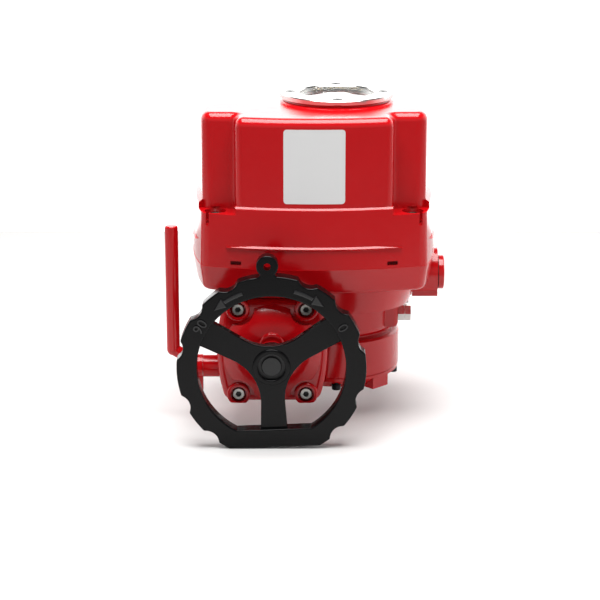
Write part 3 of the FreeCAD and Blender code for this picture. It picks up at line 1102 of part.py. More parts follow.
def drive_sleeve():
    """The output sleeve: journals, the wheel's seat, the cam's seat and the keyed bore for the valve stem."""
    low, high = BUSH_LOW_INNER - RUN, BUSH_HIGH_INNER - RUN
    sleeve = revolve_z([(0, SLEEVE_FOOT_Z), (low, SLEEVE_FOOT_Z), (low, PLATE_HEIGHT + 1), (SLEEVE_FLANGE, PLATE_HEIGHT + 1),
                        (SLEEVE_FLANGE, WHEEL_Z0), (WHEEL_SEAT, WHEEL_Z0), (WHEEL_SEAT, STOP_Z - STOP_CAM_HALF),
                        (CAM_SEAT, STOP_Z - STOP_CAM_HALF), (CAM_SEAT, CAM_CAVITY_TOP - 1), (high, CAM_CAVITY_TOP - 1),
                        (high, CASE_FLOOR + 3), (0, CASE_FLOOR + 3)])
    key = block(-STEM_KEY_WIDTH / 2, STEM_KEY_WIDTH / 2, 0, STEM_BORE_RADIUS + STEM_KEY_DEPTH,
                SLEEVE_FOOT_Z - 1, SLEEVE_FOOT_Z + STEM_BORE_DEPTH)
    bore = rod_z(STEM_BORE_RADIUS, SLEEVE_FOOT_Z - 1, SLEEVE_FOOT_Z + STEM_BORE_DEPTH)
    socket = rod_z(CAM_SHAFT_RADIUS, CASE_FLOOR - 12, CASE_FLOOR + 4)
    return sleeve.cut(Part.makeCompound([bore, key, socket]))


def worm_wheel():
    """The bronze wheel: a bored disc with skewed teeth set into its rim, in mesh with the worm at rest."""
    z0, z1 = WHEEL_Z0, WHEEL_Z0 + WHEEL_FACE_WIDTH
    root = WHEEL_PITCH_RADIUS - 1.25 * WORM_MODULE
    disc = ring_z(root, WHEEL_SEAT, z0, z1)
    pockets = [rod_z(6.0, z0 - 1, z1 + 1, 38 * math.cos(math.radians(60 * i)), 38 * math.sin(math.radians(60 * i)))
               for i in range(6)]
    disc = disc.cut(Part.makeCompound(pockets))
    slope = math.tan(math.radians(20))
    half = (math.pi * WORM_MODULE / 2 - WORM_BACKLASH) / 2
    tip = WHEEL_PITCH_RADIUS + WORM_MODULE * 0.9
    base = root - 1.2
    half_base = half + (WHEEL_PITCH_RADIUS - base) * slope * 0.85
    half_tip = half - (tip - WHEEL_PITCH_RADIUS) * slope * 1.25
    lean = math.tan(WORM_SKEW) * WHEEL_FACE_WIDTH
    points = [vec(base, -half_base - lean / 2, z0), vec(tip, -half_tip - lean / 2, z0),
              vec(tip, half_tip - lean / 2, z0), vec(base, half_base - lean / 2, z0)]
    tooth = Part.Face(Part.makePolygon(points + [points[0]])).extrude(vec(0, lean, WHEEL_FACE_WIDTH))
    step = 360.0 / WHEEL_TEETH
    teeth = [turned(tooth, (i + 0.5) * step, vec(0, 0, 0), vec(0, 0, 1)) for i in range(WHEEL_TEETH)]
    return join([disc] + teeth)


def stop_cam():
    """The disc with two square flats that meet the travel-stop bolts a quarter turn apart."""
    z0, z1 = STOP_Z - STOP_CAM_HALF, STOP_Z + STOP_CAM_HALF
    cam = ring_z(STOP_CAM_RADIUS, CAM_SEAT, z0, z1)
    return cam.cut(block(STOP_FLAT, 60, -60, 60, z0 - 1, z1 + 1)).cut(block(-60, 60, -60, -STOP_FLAT, z0 - 1, z1 + 1))


def stop_bolts():
    bolts = []
    for side in (-1, 1):
        shank = rod_x(STOP_BOLT_RADIUS, STOP_FLAT + 0.5, STOP_HEAD_X, side * STOP_Y, STOP_Z)
        head = hexagon_prism(STOP_HEX, STOP_HEAD_X, STOP_HEAD_X + STOP_HEAD_HEIGHT, side * STOP_Y, STOP_Z)
        bolts.append(shank.fuse(head).removeSplitter())
    return group(bolts)


def stop_lock_nuts():
    nuts = []
    for side in (-1, 1):
        nut = hexagon_prism(STOP_HEX, STOP_FACE_X, STOP_FACE_X + STOP_NUT_HEIGHT, side * STOP_Y, STOP_Z)
        nuts.append(nut.cut(rod_x(STOP_BOLT_RADIUS, STOP_FACE_X - 1, STOP_HEAD_X + 1, side * STOP_Y, STOP_Z)))
    return group(nuts)


def cam_shaft():
    top = INDICATOR_Z
    return revolve_z([(0, CASE_FLOOR - 12), (CAM_SHAFT_RADIUS, CASE_FLOOR - 12), (CAM_SHAFT_RADIUS, top - 6),
                      (CAM_SHAFT_RADIUS - 2, top - 6), (CAM_SHAFT_RADIUS - 2, top + 4), (0, top + 4)])


def limit_cams():
    """Four stacked cams on the cam shaft, each a disc with one raised lobe."""
    cams = []
    for i in range(4):
        z0 = LIMIT_CAM_Z + i * LIMIT_CAM_PITCH
        disc = ring_z(13.0, CAM_SHAFT_RADIUS, z0, z0 + 5.0)
        lobe = Part.makeCylinder(15.0, 5.0, vec(0, 0, z0), vec(0, 0, 1), 40)
        lobe.rotate(vec(0, 0, 0), vec(0, 0, 1), 100 + 60 * i)
        lobe = lobe.cut(rod_z(CAM_SHAFT_RADIUS + 1, z0 - 1, z0 + 6))
        cams.append(join([disc, lobe]))
    return group(cams)


def position_indicator():
    """The dial under the window: a shallow domed disc with a raised pointer bar."""
    z0 = INDICATOR_Z
    disc = revolve_z([(CAM_SHAFT_RADIUS - 2, z0 - 3), (9, z0 - 3), (9, z0), (34, z0), (36, z0 + 1.5), (34, z0 + 3),
                      (CAM_SHAFT_RADIUS - 2, z0 + 3)])
    bar = block(-30, 30, -5, 5, z0 + 2, z0 + 5)
    bar = bar.cut(rod_z(CAM_SHAFT_RADIUS - 2, z0 - 1, z0 + 6))
    return join([disc, bar])


def upper_output_bush():
    return ring_z(BUSH_HIGH_OUTER, BUSH_HIGH_INNER, CAM_CAVITY_TOP, CASE_FLOOR)


def lower_output_bush():
    return ring_z(BUSH_LOW_OUTER, BUSH_LOW_INNER, SEAL_TOP_Z, PLATE_HEIGHT)


def output_seal():
    return ring_z(BUSH_LOW_OUTER, BUSH_LOW_INNER, SPIGOT_DEPTH + 1, SEAL_TOP_Z)


def handwheel():
    """The cast handwheel: scalloped rim with one flat, three swept spokes, hub and the ear for a crank knob."""
    depth = RIM_DEPTH
    web_top = depth - WEB_SETBACK
    hub_back = depth - (HUB_BACK_Y - RIM_FRONT_Y)
    hub = Part.makeCylinder(HUB_RADIUS, web_top - hub_back, vec(0, 0, hub_back))
    wheel = join([wheel_rim(depth), wheel_web(depth, web_top), hub, hub_lip(web_top)])
    bores = [Part.makeCylinder(HANDSHAFT_RADIUS, depth - hub_back, vec(0, 0, hub_back - 1)),
             Part.makeCylinder(HUB_CAP_RADIUS, HUB_CAP_DEPTH + 1, vec(0, 0, web_top - HUB_CAP_DEPTH)),
             Part.makeCylinder(EAR_HOLE_RADIUS, depth + 2, vec(0, EAR_REACH, -1))]
    wheel = wheel.cut(Part.makeCompound(bores))
    return wheel_placed(wheel)


def wheel_rim(depth):
    """The rim in the wheel's own plane: a ring with a flat below, finger scallops and the ear, rounded in front."""
    far = 2 * RIM_RADIUS
    rim = Part.makeCylinder(RIM_RADIUS, depth)
    rim = rim.cut(block(-far, far, -far, -RIM_FLAT, -1, depth + 1))
    hole = Part.makeCylinder(RIM_INNER_RADIUS, depth + 2, vec(0, 0, -1))
    hole = hole.cut(block(-far, far, -far, -RIM_INNER_FLAT, -2, depth + 3))
    notch = RIM_RADIUS - SCALLOP_DEPTH + SCALLOP_RADIUS
    scallops = []
    for side in (-1, 1):
        for angle in SCALLOP_ANGLES:
            a = math.radians(90 + side * angle)
            scallops.append(Part.makeCylinder(SCALLOP_RADIUS, depth + 2, vec(notch * math.cos(a), notch * math.sin(a), -1)))
    rim = rim.cut(Part.makeCompound([hole] + scallops))
    rim = rim.makeFillet(SCALLOP_CUSP, scallop_cusps(rim, depth))
    ear = Part.makeCylinder(EAR_RADIUS, EAR_DEPTH, vec(0, EAR_REACH, depth - EAR_DEPTH))
    root = RIM_RADIUS - EAR_ROOT
    waist = root + (EAR_REACH - root) * EAR_NARROWING
    neck_points = [vec(-EAR_RADIUS, root, 0), vec(-EAR_NECK, waist, 0), vec(-EAR_NECK, EAR_REACH, 0),
                   vec(EAR_NECK, EAR_REACH, 0), vec(EAR_NECK, waist, 0), vec(EAR_RADIUS, root, 0)]
    neck = Part.Face(Part.makePolygon(neck_points + [neck_points[0]])).extrude(vec(0, 0, EAR_DEPTH))
    neck.translate(vec(0, 0, depth - EAR_DEPTH))
    rim = join([rim, ear, neck])
    return rim.makeFillet(WHEEL_EDGE, [e for e in rim.Edges if e.BoundBox.ZMin > depth - 0.01])


def scallop_cusps(rim, depth):
    """The sharp upright edges where the finger scallops run out on the rim."""
    cusps = []
    for edge in rim.Edges:
        box = edge.BoundBox
        middle = math.hypot(box.Center.x, box.Center.y)
        if abs(box.ZLength - depth) < 0.01 and abs(middle - RIM_RADIUS) < 0.05 and box.Center.y > -RIM_FLAT + 1:
            cusps.append(edge)
    return cusps


def wheel_web(depth, web_top):
    """The three spokes as one disc with openings, its front edges rounded."""
    reach = RIM_INNER_RADIUS + 3
    web = Part.makeCylinder(reach, WEB_THICKNESS, vec(0, 0, web_top - WEB_THICKNESS))
    web = web.cut(block(-reach, reach, -2 * reach, -RIM_INNER_FLAT - 3, -1, depth + 1))
    inside = Part.makeCylinder(RIM_INNER_RADIUS, depth + 2, vec(0, 0, -1))
    inside = inside.cut(block(-reach, reach, -2 * reach, -RIM_INNER_FLAT, -2, depth + 3))
    window = spoke_window(depth)
    windows = [turned(window, 360.0 * i / SPOKE_COUNT, vec(0, 0, 0), vec(0, 0, 1)).common(inside)
               for i in range(SPOKE_COUNT)]
    web = web.cut(Part.makeCompound(windows))
    front = [e for e in web.Edges if e.BoundBox.ZMin > web_top - 0.01 and along_spoke(e)]
    return web.makeFillet(SPOKE_EDGE, front)


def along_spoke(edge):
    """Whether an edge runs along a spoke, and not where the disc meets the rim."""
    middle = edge.discretize(3)[1]
    return math.hypot(middle.x, middle.y) < RIM_INNER_RADIUS - 1 and middle.y > -RIM_INNER_FLAT + 1


def hub_lip(web_top):
    """The raised round ring about the hub's disc."""
    lip = Part.makeCylinder(HUB_LIP_RADIUS, HUB_LIP_HEIGHT + 1, vec(0, 0, web_top - 1))
    lip = lip.cut(Part.makeCylinder(HUB_CAP_RADIUS, HUB_LIP_HEIGHT + 3, vec(0, 0, web_top - 2)))
    front = [e for e in lip.Edges if e.BoundBox.ZMin > web_top + HUB_LIP_HEIGHT - 0.01]
    lip = lip.makeFillet(HUB_LIP_OUTER_ROUND, [e for e in front if e.BoundBox.XMax > HUB_CAP_RADIUS + 1])
    inner = [e for e in lip.Edges if e.BoundBox.ZMin > web_top + HUB_LIP_HEIGHT - 0.01
             and e.BoundBox.XMax < HUB_CAP_RADIUS + 1]
    return lip.makeFillet(HUB_LIP_INNER_ROUND, inner)


def spoke_window(depth):
    """One opening between spokes: two straight edges joined by an arc round the hub, closed by the rim."""
    slope = math.radians(SPOKE_SLOPE)
    run_x, reach = SPOKE_ARC * math.sin(slope), RIM_INNER_RADIUS + 6
    bottom = SPOKE_APEX + SPOKE_ARC * (1 / math.cos(slope) - 1)
    tangent_y = SPOKE_APEX + run_x * math.tan(slope)
    edge_x = reach * math.cos(slope)
    edge_y = SPOKE_APEX + edge_x * math.tan(slope)
    arc = Part.Arc(vec(-run_x, tangent_y, 0), vec(0, bottom, 0), vec(run_x, tangent_y, 0)).toShape()
    sides = Part.makePolygon([vec(run_x, tangent_y, 0), vec(edge_x, edge_y, 0), vec(0, 2 * reach, 0),
                              vec(-edge_x, edge_y, 0), vec(-run_x, tangent_y, 0)])
    face = Part.Face(Part.Wire([arc] + sides.Edges))
    sector = face.extrude(vec(0, 0, depth + 2))
    sector.translate(vec(0, 0, -1))
    return sector


def wheel_placed(shape):
    """From the wheel's own plane, where its front is at RIM_DEPTH, to its place on the shaft."""
    copy = stand_up(shape, RIM_FRONT_Y + RIM_DEPTH)
    copy.rotate(vec(0, 0, 0), vec(0, 1, 0), -WHEEL_REST_TURN)
    copy.translate(vec(WORM_X, 0, WORM_HEIGHT))
    return copy


def handwheel_shaft():
    """The shaft from the wheel to the clutch: a dogged flange behind, the journal and the wheel's seat."""
    front = RIM_FRONT_Y + WEB_SETBACK + HUB_CAP_DEPTH
    face = HAND_FLANGE_FACE
    shaft = revolve_y([(0, front), (HANDSHAFT_RADIUS - 1, front), (HANDSHAFT_RADIUS, front + 1),
                       (HANDSHAFT_RADIUS, HAND_FLANGE_BACK), (DOG_OUTER, HAND_FLANGE_BACK), (DOG_OUTER, face), (0, face)])
    dogs = [seated(d, face + DOG_LENGTH) for d in dog_ring(DOG_OUTER, DOG_INNER, DOG_LENGTH, 45.0)]
    return join([shaft] + dogs)


def handwheel_bush():
    return ring_y(HAND_BUSH_OUTER, HANDSHAFT_RADIUS + RUN, SNOUT_Y + SHAFT_SEAL_WIDTH, HAND_FLANGE_BACK - 0.5)


def handwheel_seal():
    return ring_y(HAND_BUSH_OUTER, HANDSHAFT_RADIUS + RUN, SNOUT_Y, SNOUT_Y + SHAFT_SEAL_WIDTH)


def hub_cap():
    """The plain disc that closes the hub, set back inside its lip."""
    front = RIM_FRONT_Y + WEB_SETBACK
    face, seat = front + HUB_DISC_SETBACK, front + HUB_SEAT_SETBACK
    return revolve_y([(0, front + HUB_CAP_DEPTH), (0, face), (HUB_DISC_RADIUS - HUB_DISC_EDGE, face),
                      (HUB_DISC_RADIUS, face + HUB_DISC_EDGE), (HUB_DISC_RADIUS, seat), (HUB_CAP_RADIUS, seat),
                      (HUB_CAP_RADIUS, front + HUB_CAP_DEPTH)])


def declutch_lever():
    """The cranked hand lever: an oval eye with a tail, an elbow and a long round grip."""
    eye = rod_x(LEVER_BOSS_RADIUS, LEVER_PLATE_OUT, LEVER_PLATE_IN, LEVER_Y, LEVER_Z)
    tail = block(LEVER_PLATE_OUT, LEVER_PLATE_IN, LEVER_Y - 6, LEVER_Y + 6, LEVER_TAIL_Z, LEVER_Z)
    arm_low = vec((LEVER_PLATE_OUT + LEVER_PLATE_IN) / 2, LEVER_Y, LEVER_Z + 2)
    elbow = vec(LEVER_X, LEVER_Y, LEVER_ELBOW_Z + 4)
    crank = swept_rod(LEVER_BAR_RADIUS - 0.4, arm_low, elbow)
    grip = Part.makeCylinder(LEVER_BAR_RADIUS, LEVER_TOP - elbow.z, elbow)
    tip = [e for e in grip.Edges if e.BoundBox.ZMin > LEVER_TOP - 0.01]
    grip = grip.makeFillet(2.0, tip)
    knuckle = Part.makeSphere(LEVER_BAR_RADIUS, elbow)
    trim = block(LEVER_PLATE_IN, LEVER_PLATE_IN + 30, LEVER_Y - 30, LEVER_Y + 30, 0, 90)
    lever = join([eye, tail, crank.cut(trim), grip, knuckle])
    return lever.cut(rod_x(LEVER_SHAFT_RADIUS, LEVER_PLATE_OUT - 8, LEVER_PLATE_IN + 1, LEVER_Y, LEVER_Z))


def swept_rod(radius, start, end):
    return Part.makeCylinder(radius, (end - start).Length, start, end - start)


def lever_shaft():
    return rod_x(LEVER_SHAFT_RADIUS, LEVER_PLATE_OUT - 1.0, LEVER_SHAFT_END, LEVER_Y, LEVER_Z)


def shift_fork():
    """The fork on the lever shaft whose two pins ride in the sleeve's groove."""
    hub = rod_x(FORK_HUB_RADIUS, WORM_X - FORK_OUT, WORM_X + FORK_OUT, LEVER_Y, LEVER_Z)
    parts = [hub]
    for side in (-1, 1):
        x0, x1 = sorted((WORM_X + side * FORK_IN, WORM_X + side * FORK_OUT))
        parts.append(block(x0, x1, LEVER_Y - 3.5, LEVER_Y + 3.5, LEVER_Z, WORM_HEIGHT))
        parts.append(rod_x(3.5, x0, x1, LEVER_Y, WORM_HEIGHT))
        a, b = sorted((WORM_X + side * (GROOVE_FLOOR + 0.7), WORM_X + side * FORK_OUT))
        parts.append(rod_x(FORK_PIN_RADIUS, a, b, LEVER_Y, WORM_HEIGHT))
    fork = join(parts)
    return fork.cut(rod_x(LEVER_SHAFT_RADIUS, WORM_X - 60, WORM_X + 60, LEVER_Y, LEVER_Z))


def conduit_plug():
    """The round blanking plug: a chamfered disc with a stem down the entry's bore."""
    disc = CONDUIT_PLUG_RADIUS
    plug = revolve_z([(0, -14), (CONDUIT_BORE, -14), (CONDUIT_BORE, 1.5), (disc, 1.5), (disc, 6.3), (disc - 0.4, 7.1),
                      (disc - 1.2, 7.5), (0, 7.5)])
    return placed(plug, (CONDUIT_FACE, CONDUIT_Y, CONDUIT_Z), (1, 0, 0))


def conduit_oring():
    ring = rod_x(CONDUIT_PLUG_RADIUS - 1, CONDUIT_FACE, CONDUIT_FACE + 1.5, CONDUIT_Y, CONDUIT_Z)
    return ring.cut(rod_x(CONDUIT_BORE, CONDUIT_FACE - 1, CONDUIT_FACE + 3, CONDUIT_Y, CONDUIT_Z))


def deck_posts():
    return group([rod_z(DECK_POST_RADIUS, CASE_FLOOR, DECK_Z, x, y) for x, y in deck_post_places()])


def deck_post_places():
    return [(CASE_X + sx * DECK_POST_X, CASE_Y + sy * DECK_POST_Y) for sx in (-1, 1) for sy in (-1, 1)]


def control_deck():
    """The aluminium deck across the compartment that carries the switches and terminals."""
    deck = block(CASE_X - DECK_HALF_X, CASE_X + DECK_HALF_X, CASE_Y - DECK_HALF_Y, CASE_Y + DECK_HALF_Y,
                 DECK_Z, DECK_Z + DECK_THICKNESS)
    uprights = [e for e in deck.Edges if abs(e.BoundBox.ZLength - DECK_THICKNESS) < 0.01]
    deck = deck.makeFillet(DECK_CORNER, uprights)
    return deck.cut(rod_z(DECK_HOLE, DECK_Z - 1, DECK_Z + DECK_THICKNESS + 1))


def terminal_block():
    """A row of terminals: a body with a slot and a screw head for each way."""
    x0, y0, z0 = CASE_X + TERMINAL_X, CASE_Y + TERMINAL_Y, DECK_Z + DECK_THICKNESS
    wall = TERMINAL_PITCH - TERMINAL_SLOT
    body = block(x0, x0 + TERMINAL_WAYS * TERMINAL_PITCH + 2 * wall, y0, y0 + TERMINAL_DEPTH, z0, z0 + TERMINAL_HEIGHT)
    steps = []
    for i in range(TERMINAL_WAYS):
        left = x0 + 1.5 * wall + i * TERMINAL_PITCH
        for y in (y0 - 1, y0 + TERMINAL_DEPTH + 1 - TERMINAL_STEP):
            steps.append(block(left, left + TERMINAL_SLOT, y, y + TERMINAL_STEP, z0 + TERMINAL_STEP,
                               z0 + TERMINAL_HEIGHT + 1))
    return body.cut(Part.makeCompound(steps))


def limit_switches():
    """Four snap-action switches, one beside each cam, with their rollers reaching towards the cams."""
    switches = []
    for i in range(4):
        z0 = LIMIT_CAM_Z + i * LIMIT_CAM_PITCH - 1.0
        body = block(-14, 14, 24, 40, z0, z0 + 7)
        roller = rod_z(3.0, z0 + 1.5, z0 + 5.5, 8, 19.5)
        arm = block(-10, 8, 20.5, 21.5, z0 + 1.5, z0 + 5.5)
        post = block(-11, -8, 21, 25, z0 + 1.5, z0 + 5.5)
        switches.append(join([body, arm, roller, post]))
    return group(switches)


def switch_bracket():
    z0 = DECK_Z + DECK_THICKNESS
    back = block(-18, 18, 40, 43, z0, z0 + 46)
    foot = block(-18, 18, 43, 58, z0, z0 + 3)
    return join([back, foot])


def capacitor():
    radius, length = CAPACITOR_RADIUS, CAPACITOR_LENGTH
    body = revolve_z([(0, 0), (radius - 2, 0), (radius, 2), (radius, length - 2), (radius - 2, length), (0, length)])
    return placed(body, (CASE_X + CAPACITOR_X, CASE_Y + CAPACITOR_Y, DECK_Z + DECK_THICKNESS + radius), (1, 0, 0))


def heater():
    """The anti-condensation heater: a finned block on the deck."""
    x0, y0, z0 = CASE_X + HEATER_X, CASE_Y + HEATER_Y, DECK_Z + DECK_THICKNESS
    body = block(x0, x0 + HEATER_LENGTH, y0, y0 + HEATER_DEPTH, z0, z0 + HEATER_HEIGHT)
    gap = HEATER_PITCH / 2
    fins = [block(x0 + gap + i * HEATER_PITCH, x0 + (i + 1) * HEATER_PITCH, y0 - 1, y0 + HEATER_DEPTH + 1, z0 + 5,
                  z0 + HEATER_HEIGHT + 1) for i in range(HEATER_FINS)]
    return body.cut(Part.makeCompound(fins))


def earth_screw():
    return placed(cap_screw(*EARTH_SCREW), (EARTH_X, EARTH_Y, TRAY_BOTTOM + WALL), (0, 0, 1))


def main():
    parts = {
        "base_housing": base_housing(),
        "mounting_plate": mounting_plate(),
        "mounting_plate_screws": mounting_plate_screws(),
        "top_cover": top_cover(),
        "cover_seal": cover_seal(),
        "cover_bolts": cover_bolts(),
        "window_bezel": window_bezel(),
        "bezel_screws": bezel_screws(),
        "window_glass": window_glass(),
        "window_gasket": window_gasket(),
        "gear_cover": gear_cover(),
        "gear_cover_gasket": gear_cover_gasket(),
        "gear_cover_screws": gear_cover_screws(),
        "worm_end_cap": worm_end_cap(),
        "worm_end_cap_screws": worm_end_cap_screws(),
        "front_worm_bearing": worm_bearing(-BEARING_PLACE - BEARING_WIDTH),
        "rear_worm_bearing": worm_bearing(BEARING_PLACE),
        "worm_shaft": worm_shaft(),
        "clutch_gear": clutch_gear(),
        "clutch_sleeve": clutch_sleeve(),
        "idler_gear": idler_gear(),
        "idler_pin": idler_pin(),
        "motor_pinion": motor_pinion(),
        "motor_rotor": motor_rotor(),
        "motor_body": motor_body(),
        "motor_plate": motor_plate(),
        "drive_sleeve": drive_sleeve(),
        "worm_wheel": worm_wheel(),
        "stop_cam": stop_cam(),
        "stop_bolts": stop_bolts(),
        "stop_lock_nuts": stop_lock_nuts(),
        "cam_shaft": cam_shaft(),
        "limit_cams": limit_cams(),
        "position_indicator": position_indicator(),
        "upper_output_bush": upper_output_bush(),
        "lower_output_bush": lower_output_bush(),
        "output_seal": output_seal(),
        "handwheel": handwheel(),
        "handwheel_shaft": handwheel_shaft(),
        "handwheel_bush": handwheel_bush(),
        "handwheel_seal": handwheel_seal(),
        "hub_cap": hub_cap(),
        "declutch_lever": declutch_lever(),
        "lever_shaft": lever_shaft(),
        "shift_fork": shift_fork(),
        "conduit_plug": conduit_plug(),
        "conduit_oring": conduit_oring(),
        "deck_posts": deck_posts(),
        "control_deck": control_deck(),
        "terminal_block": terminal_block(),
        "limit_switches": limit_switches(),
        "switch_bracket": switch_bracket(),
        "capacitor": capacitor(),
        "heater": heater(),
        "earth_screw": earth_screw(),
    }
    os.makedirs("parts", exist_ok=True)
    for name, shape in parts.items():
        shape.exportStep("parts/" + name + ".step")
        print(name, "solids", len(shape.Solids), "volume", round(shape.Volume), "valid", shape.isValid())


main()
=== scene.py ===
# %% [markdown]
# An electric valve actuator for a studio picture.
# The solid parts come ready made, at their real size, from the imported frame.
# This lesson gives them their finishes, and adds what the frame leaves out: the marks cast on the handwheel,
# a blank sticker, dark discs of painted shade in the screw sockets, the black bar of the dial, and a studio
# with its light.
# Everything is in metres, with Z up. The handwheel faces -Y, towards the camera.

# %% Load the frame
import json
import math

import bmesh
import bpy
from mathutils import Matrix, Vector
from mathutils.bvhtree import BVHTree


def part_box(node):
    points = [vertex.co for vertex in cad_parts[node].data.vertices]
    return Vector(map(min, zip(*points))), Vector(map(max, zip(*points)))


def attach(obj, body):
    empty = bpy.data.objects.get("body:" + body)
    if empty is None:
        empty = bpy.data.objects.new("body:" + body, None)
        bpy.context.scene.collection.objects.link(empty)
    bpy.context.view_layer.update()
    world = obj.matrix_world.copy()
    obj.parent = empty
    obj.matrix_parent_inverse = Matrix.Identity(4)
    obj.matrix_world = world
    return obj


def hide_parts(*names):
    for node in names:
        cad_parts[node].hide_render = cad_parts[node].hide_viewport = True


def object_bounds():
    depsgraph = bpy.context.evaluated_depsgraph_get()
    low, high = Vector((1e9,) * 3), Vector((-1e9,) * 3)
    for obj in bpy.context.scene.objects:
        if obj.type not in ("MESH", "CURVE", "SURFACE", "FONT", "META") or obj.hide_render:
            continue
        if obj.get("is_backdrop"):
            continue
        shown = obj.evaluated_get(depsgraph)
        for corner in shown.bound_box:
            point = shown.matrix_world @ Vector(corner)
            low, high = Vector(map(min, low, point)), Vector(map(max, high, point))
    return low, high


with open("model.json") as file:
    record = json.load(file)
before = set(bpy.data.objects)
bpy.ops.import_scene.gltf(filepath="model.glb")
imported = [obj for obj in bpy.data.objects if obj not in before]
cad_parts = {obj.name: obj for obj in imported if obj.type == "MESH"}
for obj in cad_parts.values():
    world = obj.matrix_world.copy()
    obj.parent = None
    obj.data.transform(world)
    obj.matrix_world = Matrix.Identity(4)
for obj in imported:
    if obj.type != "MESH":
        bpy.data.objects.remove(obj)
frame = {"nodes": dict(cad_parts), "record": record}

MM = 0.001
cad_low, cad_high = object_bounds()
print("frame box, mm:", [round(c / MM, 1) for c in (*cad_low, *cad_high)])

# %% [markdown]
# Colours are written as the hex values a painter would read off a colour card.
# Blender's shaders work with linear light, so one function converts them.

# %% Colours


def linear(hex_colour):
    """The linear RGBA value of an sRGB hex colour."""
    channels = [int(hex_colour[i:i + 2], 16) / 255 for i in (1, 3, 5)]
    return [c / 12.92 if c <= 0.04045 else ((c + 0.055) / 1.055) ** 2.4 for c in channels] + [1.0]


print("middle grey #808080 in linear light:", round(linear("#808080")[0], 3))

# %% [markdown]
# A material is a small graph of shader nodes. It could be wired by hand in the editor, but code can be read
# and repeated, so one function adds a node, sets its values and wires its inputs. Each material then reads
# from the top down: first its patterns, then what they drive, and last the shader.
# Patterns sit on Object coordinates, which are metres here, so a scale of 1 / size gives a grain that size.

# %% Shader nodes


def add_node(owner, kind, values=None, links=None, **settings):
    """Add a node to a material or world: settings are its properties, values its inputs, links its wires."""
    node = owner.node_tree.nodes.new(kind)
    for name, value in settings.items():
        setattr(node, name, value)
    for name, value in (values or {}).items():
        node.inputs[name].default_value = value
    for name, (source, output) in (links or {}).items():
        owner.node_tree.links.new(source.outputs[output], node.inputs[name])
    return node


def start_material(name):
    """An empty node material and its Object coordinates, in metres."""
    material = bpy.data.materials.new(name)
    material.use_nodes = True
    material.node_tree.nodes.clear()
    coordinates = add_node(material, "ShaderNodeTexCoord")
    return material, coordinates


def finish_material(material, shader):
    """Wire the shader to the surface, and hand the material over."""
    add_node(material, "ShaderNodeOutputMaterial", links={"Surface": (shader, "BSDF")})
    print("finish:", material.name.replace("_", " "))
    return material


print("a grain of 1 mm has the scale", round(1 / MM))

# %% [markdown]
# The castings are aluminium, sprayed with red polyester powder and baked.
# Powder melts into a glossy skin with a faint orange peel, a few millimetres from crest to crest.
# Under it the sand-cast wall is never quite flat, which bends long reflections a little.
# Two noises at those two real sizes drive two bumps, one on top of the other, and a third noise, much larger,
# varies the gloss and the colour. The eye reads that as thick, baked paint and not as plastic.
# A photograph of paint could do the same, but a noise never repeats and fits any shape without unwrapping.

# %% Red powder coat
PEEL_SIZE = 2.2 * MM
CAST_WAVE = 24 * MM
GLOSS_PATCH = 60 * MM


def red_powder_coat():
    """Glossy baked red over a sand casting."""
    material, at = start_material("red_polyester_powder_coat")
    wave = add_node(material, "ShaderNodeTexNoise", {"Scale": 1 / CAST_WAVE, "Detail": 1.0},
                    {"Vector": (at, "Object")})
    peel = add_node(material, "ShaderNodeTexNoise", {"Scale": 1 / PEEL_SIZE, "Detail": 1.0},
                    {"Vector": (at, "Object")})
    swell = add_node(material, "ShaderNodeBump", {"Strength": 0.35, "Distance": 0.5 * MM},
                     {"Height": (wave, "Fac")})
    skin = add_node(material, "ShaderNodeBump", {"Strength": 0.12, "Distance": 0.12 * MM},
                    {"Height": (peel, "Fac"), "Normal": (swell, "Normal")})
    patch = add_node(material, "ShaderNodeTexNoise", {"Scale": 1 / GLOSS_PATCH, "Detail": 3.0},
                     {"Vector": (at, "Object")})
    gloss = add_node(material, "ShaderNodeMapRange", {"To Min": 0.13, "To Max": 0.20},
                     {"Value": (patch, "Fac")})
    tint = add_node(material, "ShaderNodeValToRGB", links={"Fac": (patch, "Fac")})
    tint.color_ramp.elements[0].color = linear("#AE070E")
    tint.color_ramp.elements[1].color = linear("#B60A12")
    coat = add_node(material, "ShaderNodeBsdfPrincipled", {"IOR": 1.5, "Specular IOR Level": 0.4},
                    {"Base Color": (tint, "Color"), "Roughness": (gloss, "Result"),
                     "Normal": (skin, "Normal")})
    return finish_material(material, coat)


red = red_powder_coat()

# %% [markdown]
# The handwheel is an iron casting under thin black paint.
# Thin paint doesn't hide the sand: the skin stays finely grained and satin, and mirrors very little.
# The red's two soft bumps would look too wet here, so one grain, as coarse as sand, drives a single bump.
# Hands polish the marks that stand proud, so these get a paler, shinier mix of the same paint; the paler tone
# also paints a highlight on the marks.

# %% Black painted iron
SAND_GRAIN = 1.1 * MM


def black_painted_iron(name, dark, light, shine):
    """Thin black paint on sand-cast iron: shine is how much it mirrors."""
    material, at = start_material(name)
    grain = add_node(material, "ShaderNodeTexNoise", {"Scale": 1 / SAND_GRAIN, "Detail": 3.0},
                     {"Vector": (at, "Object")})
    sand = add_node(material, "ShaderNodeBump", {"Strength": 0.18, "Distance": 0.15 * MM},
                    {"Height": (grain, "Fac")})
    patch = add_node(material, "ShaderNodeTexNoise", {"Scale": 1 / GLOSS_PATCH, "Detail": 2.0},
                     {"Vector": (at, "Object")})
    gloss = add_node(material, "ShaderNodeMapRange", {"To Min": 0.17, "To Max": 0.28},
                     {"Value": (patch, "Fac")})
    tint = add_node(material, "ShaderNodeValToRGB", links={"Fac": (grain, "Fac")})
    tint.color_ramp.elements[0].color = linear(dark)
    tint.color_ramp.elements[1].color = linear(light)
    paint = add_node(material, "ShaderNodeBsdfPrincipled", {"IOR": 1.5, "Specular IOR Level": shine},
                     {"Base Color": (tint, "Color"), "Roughness": (gloss, "Result"),
                      "Normal": (sand, "Normal")})
    return finish_material(material, paint)


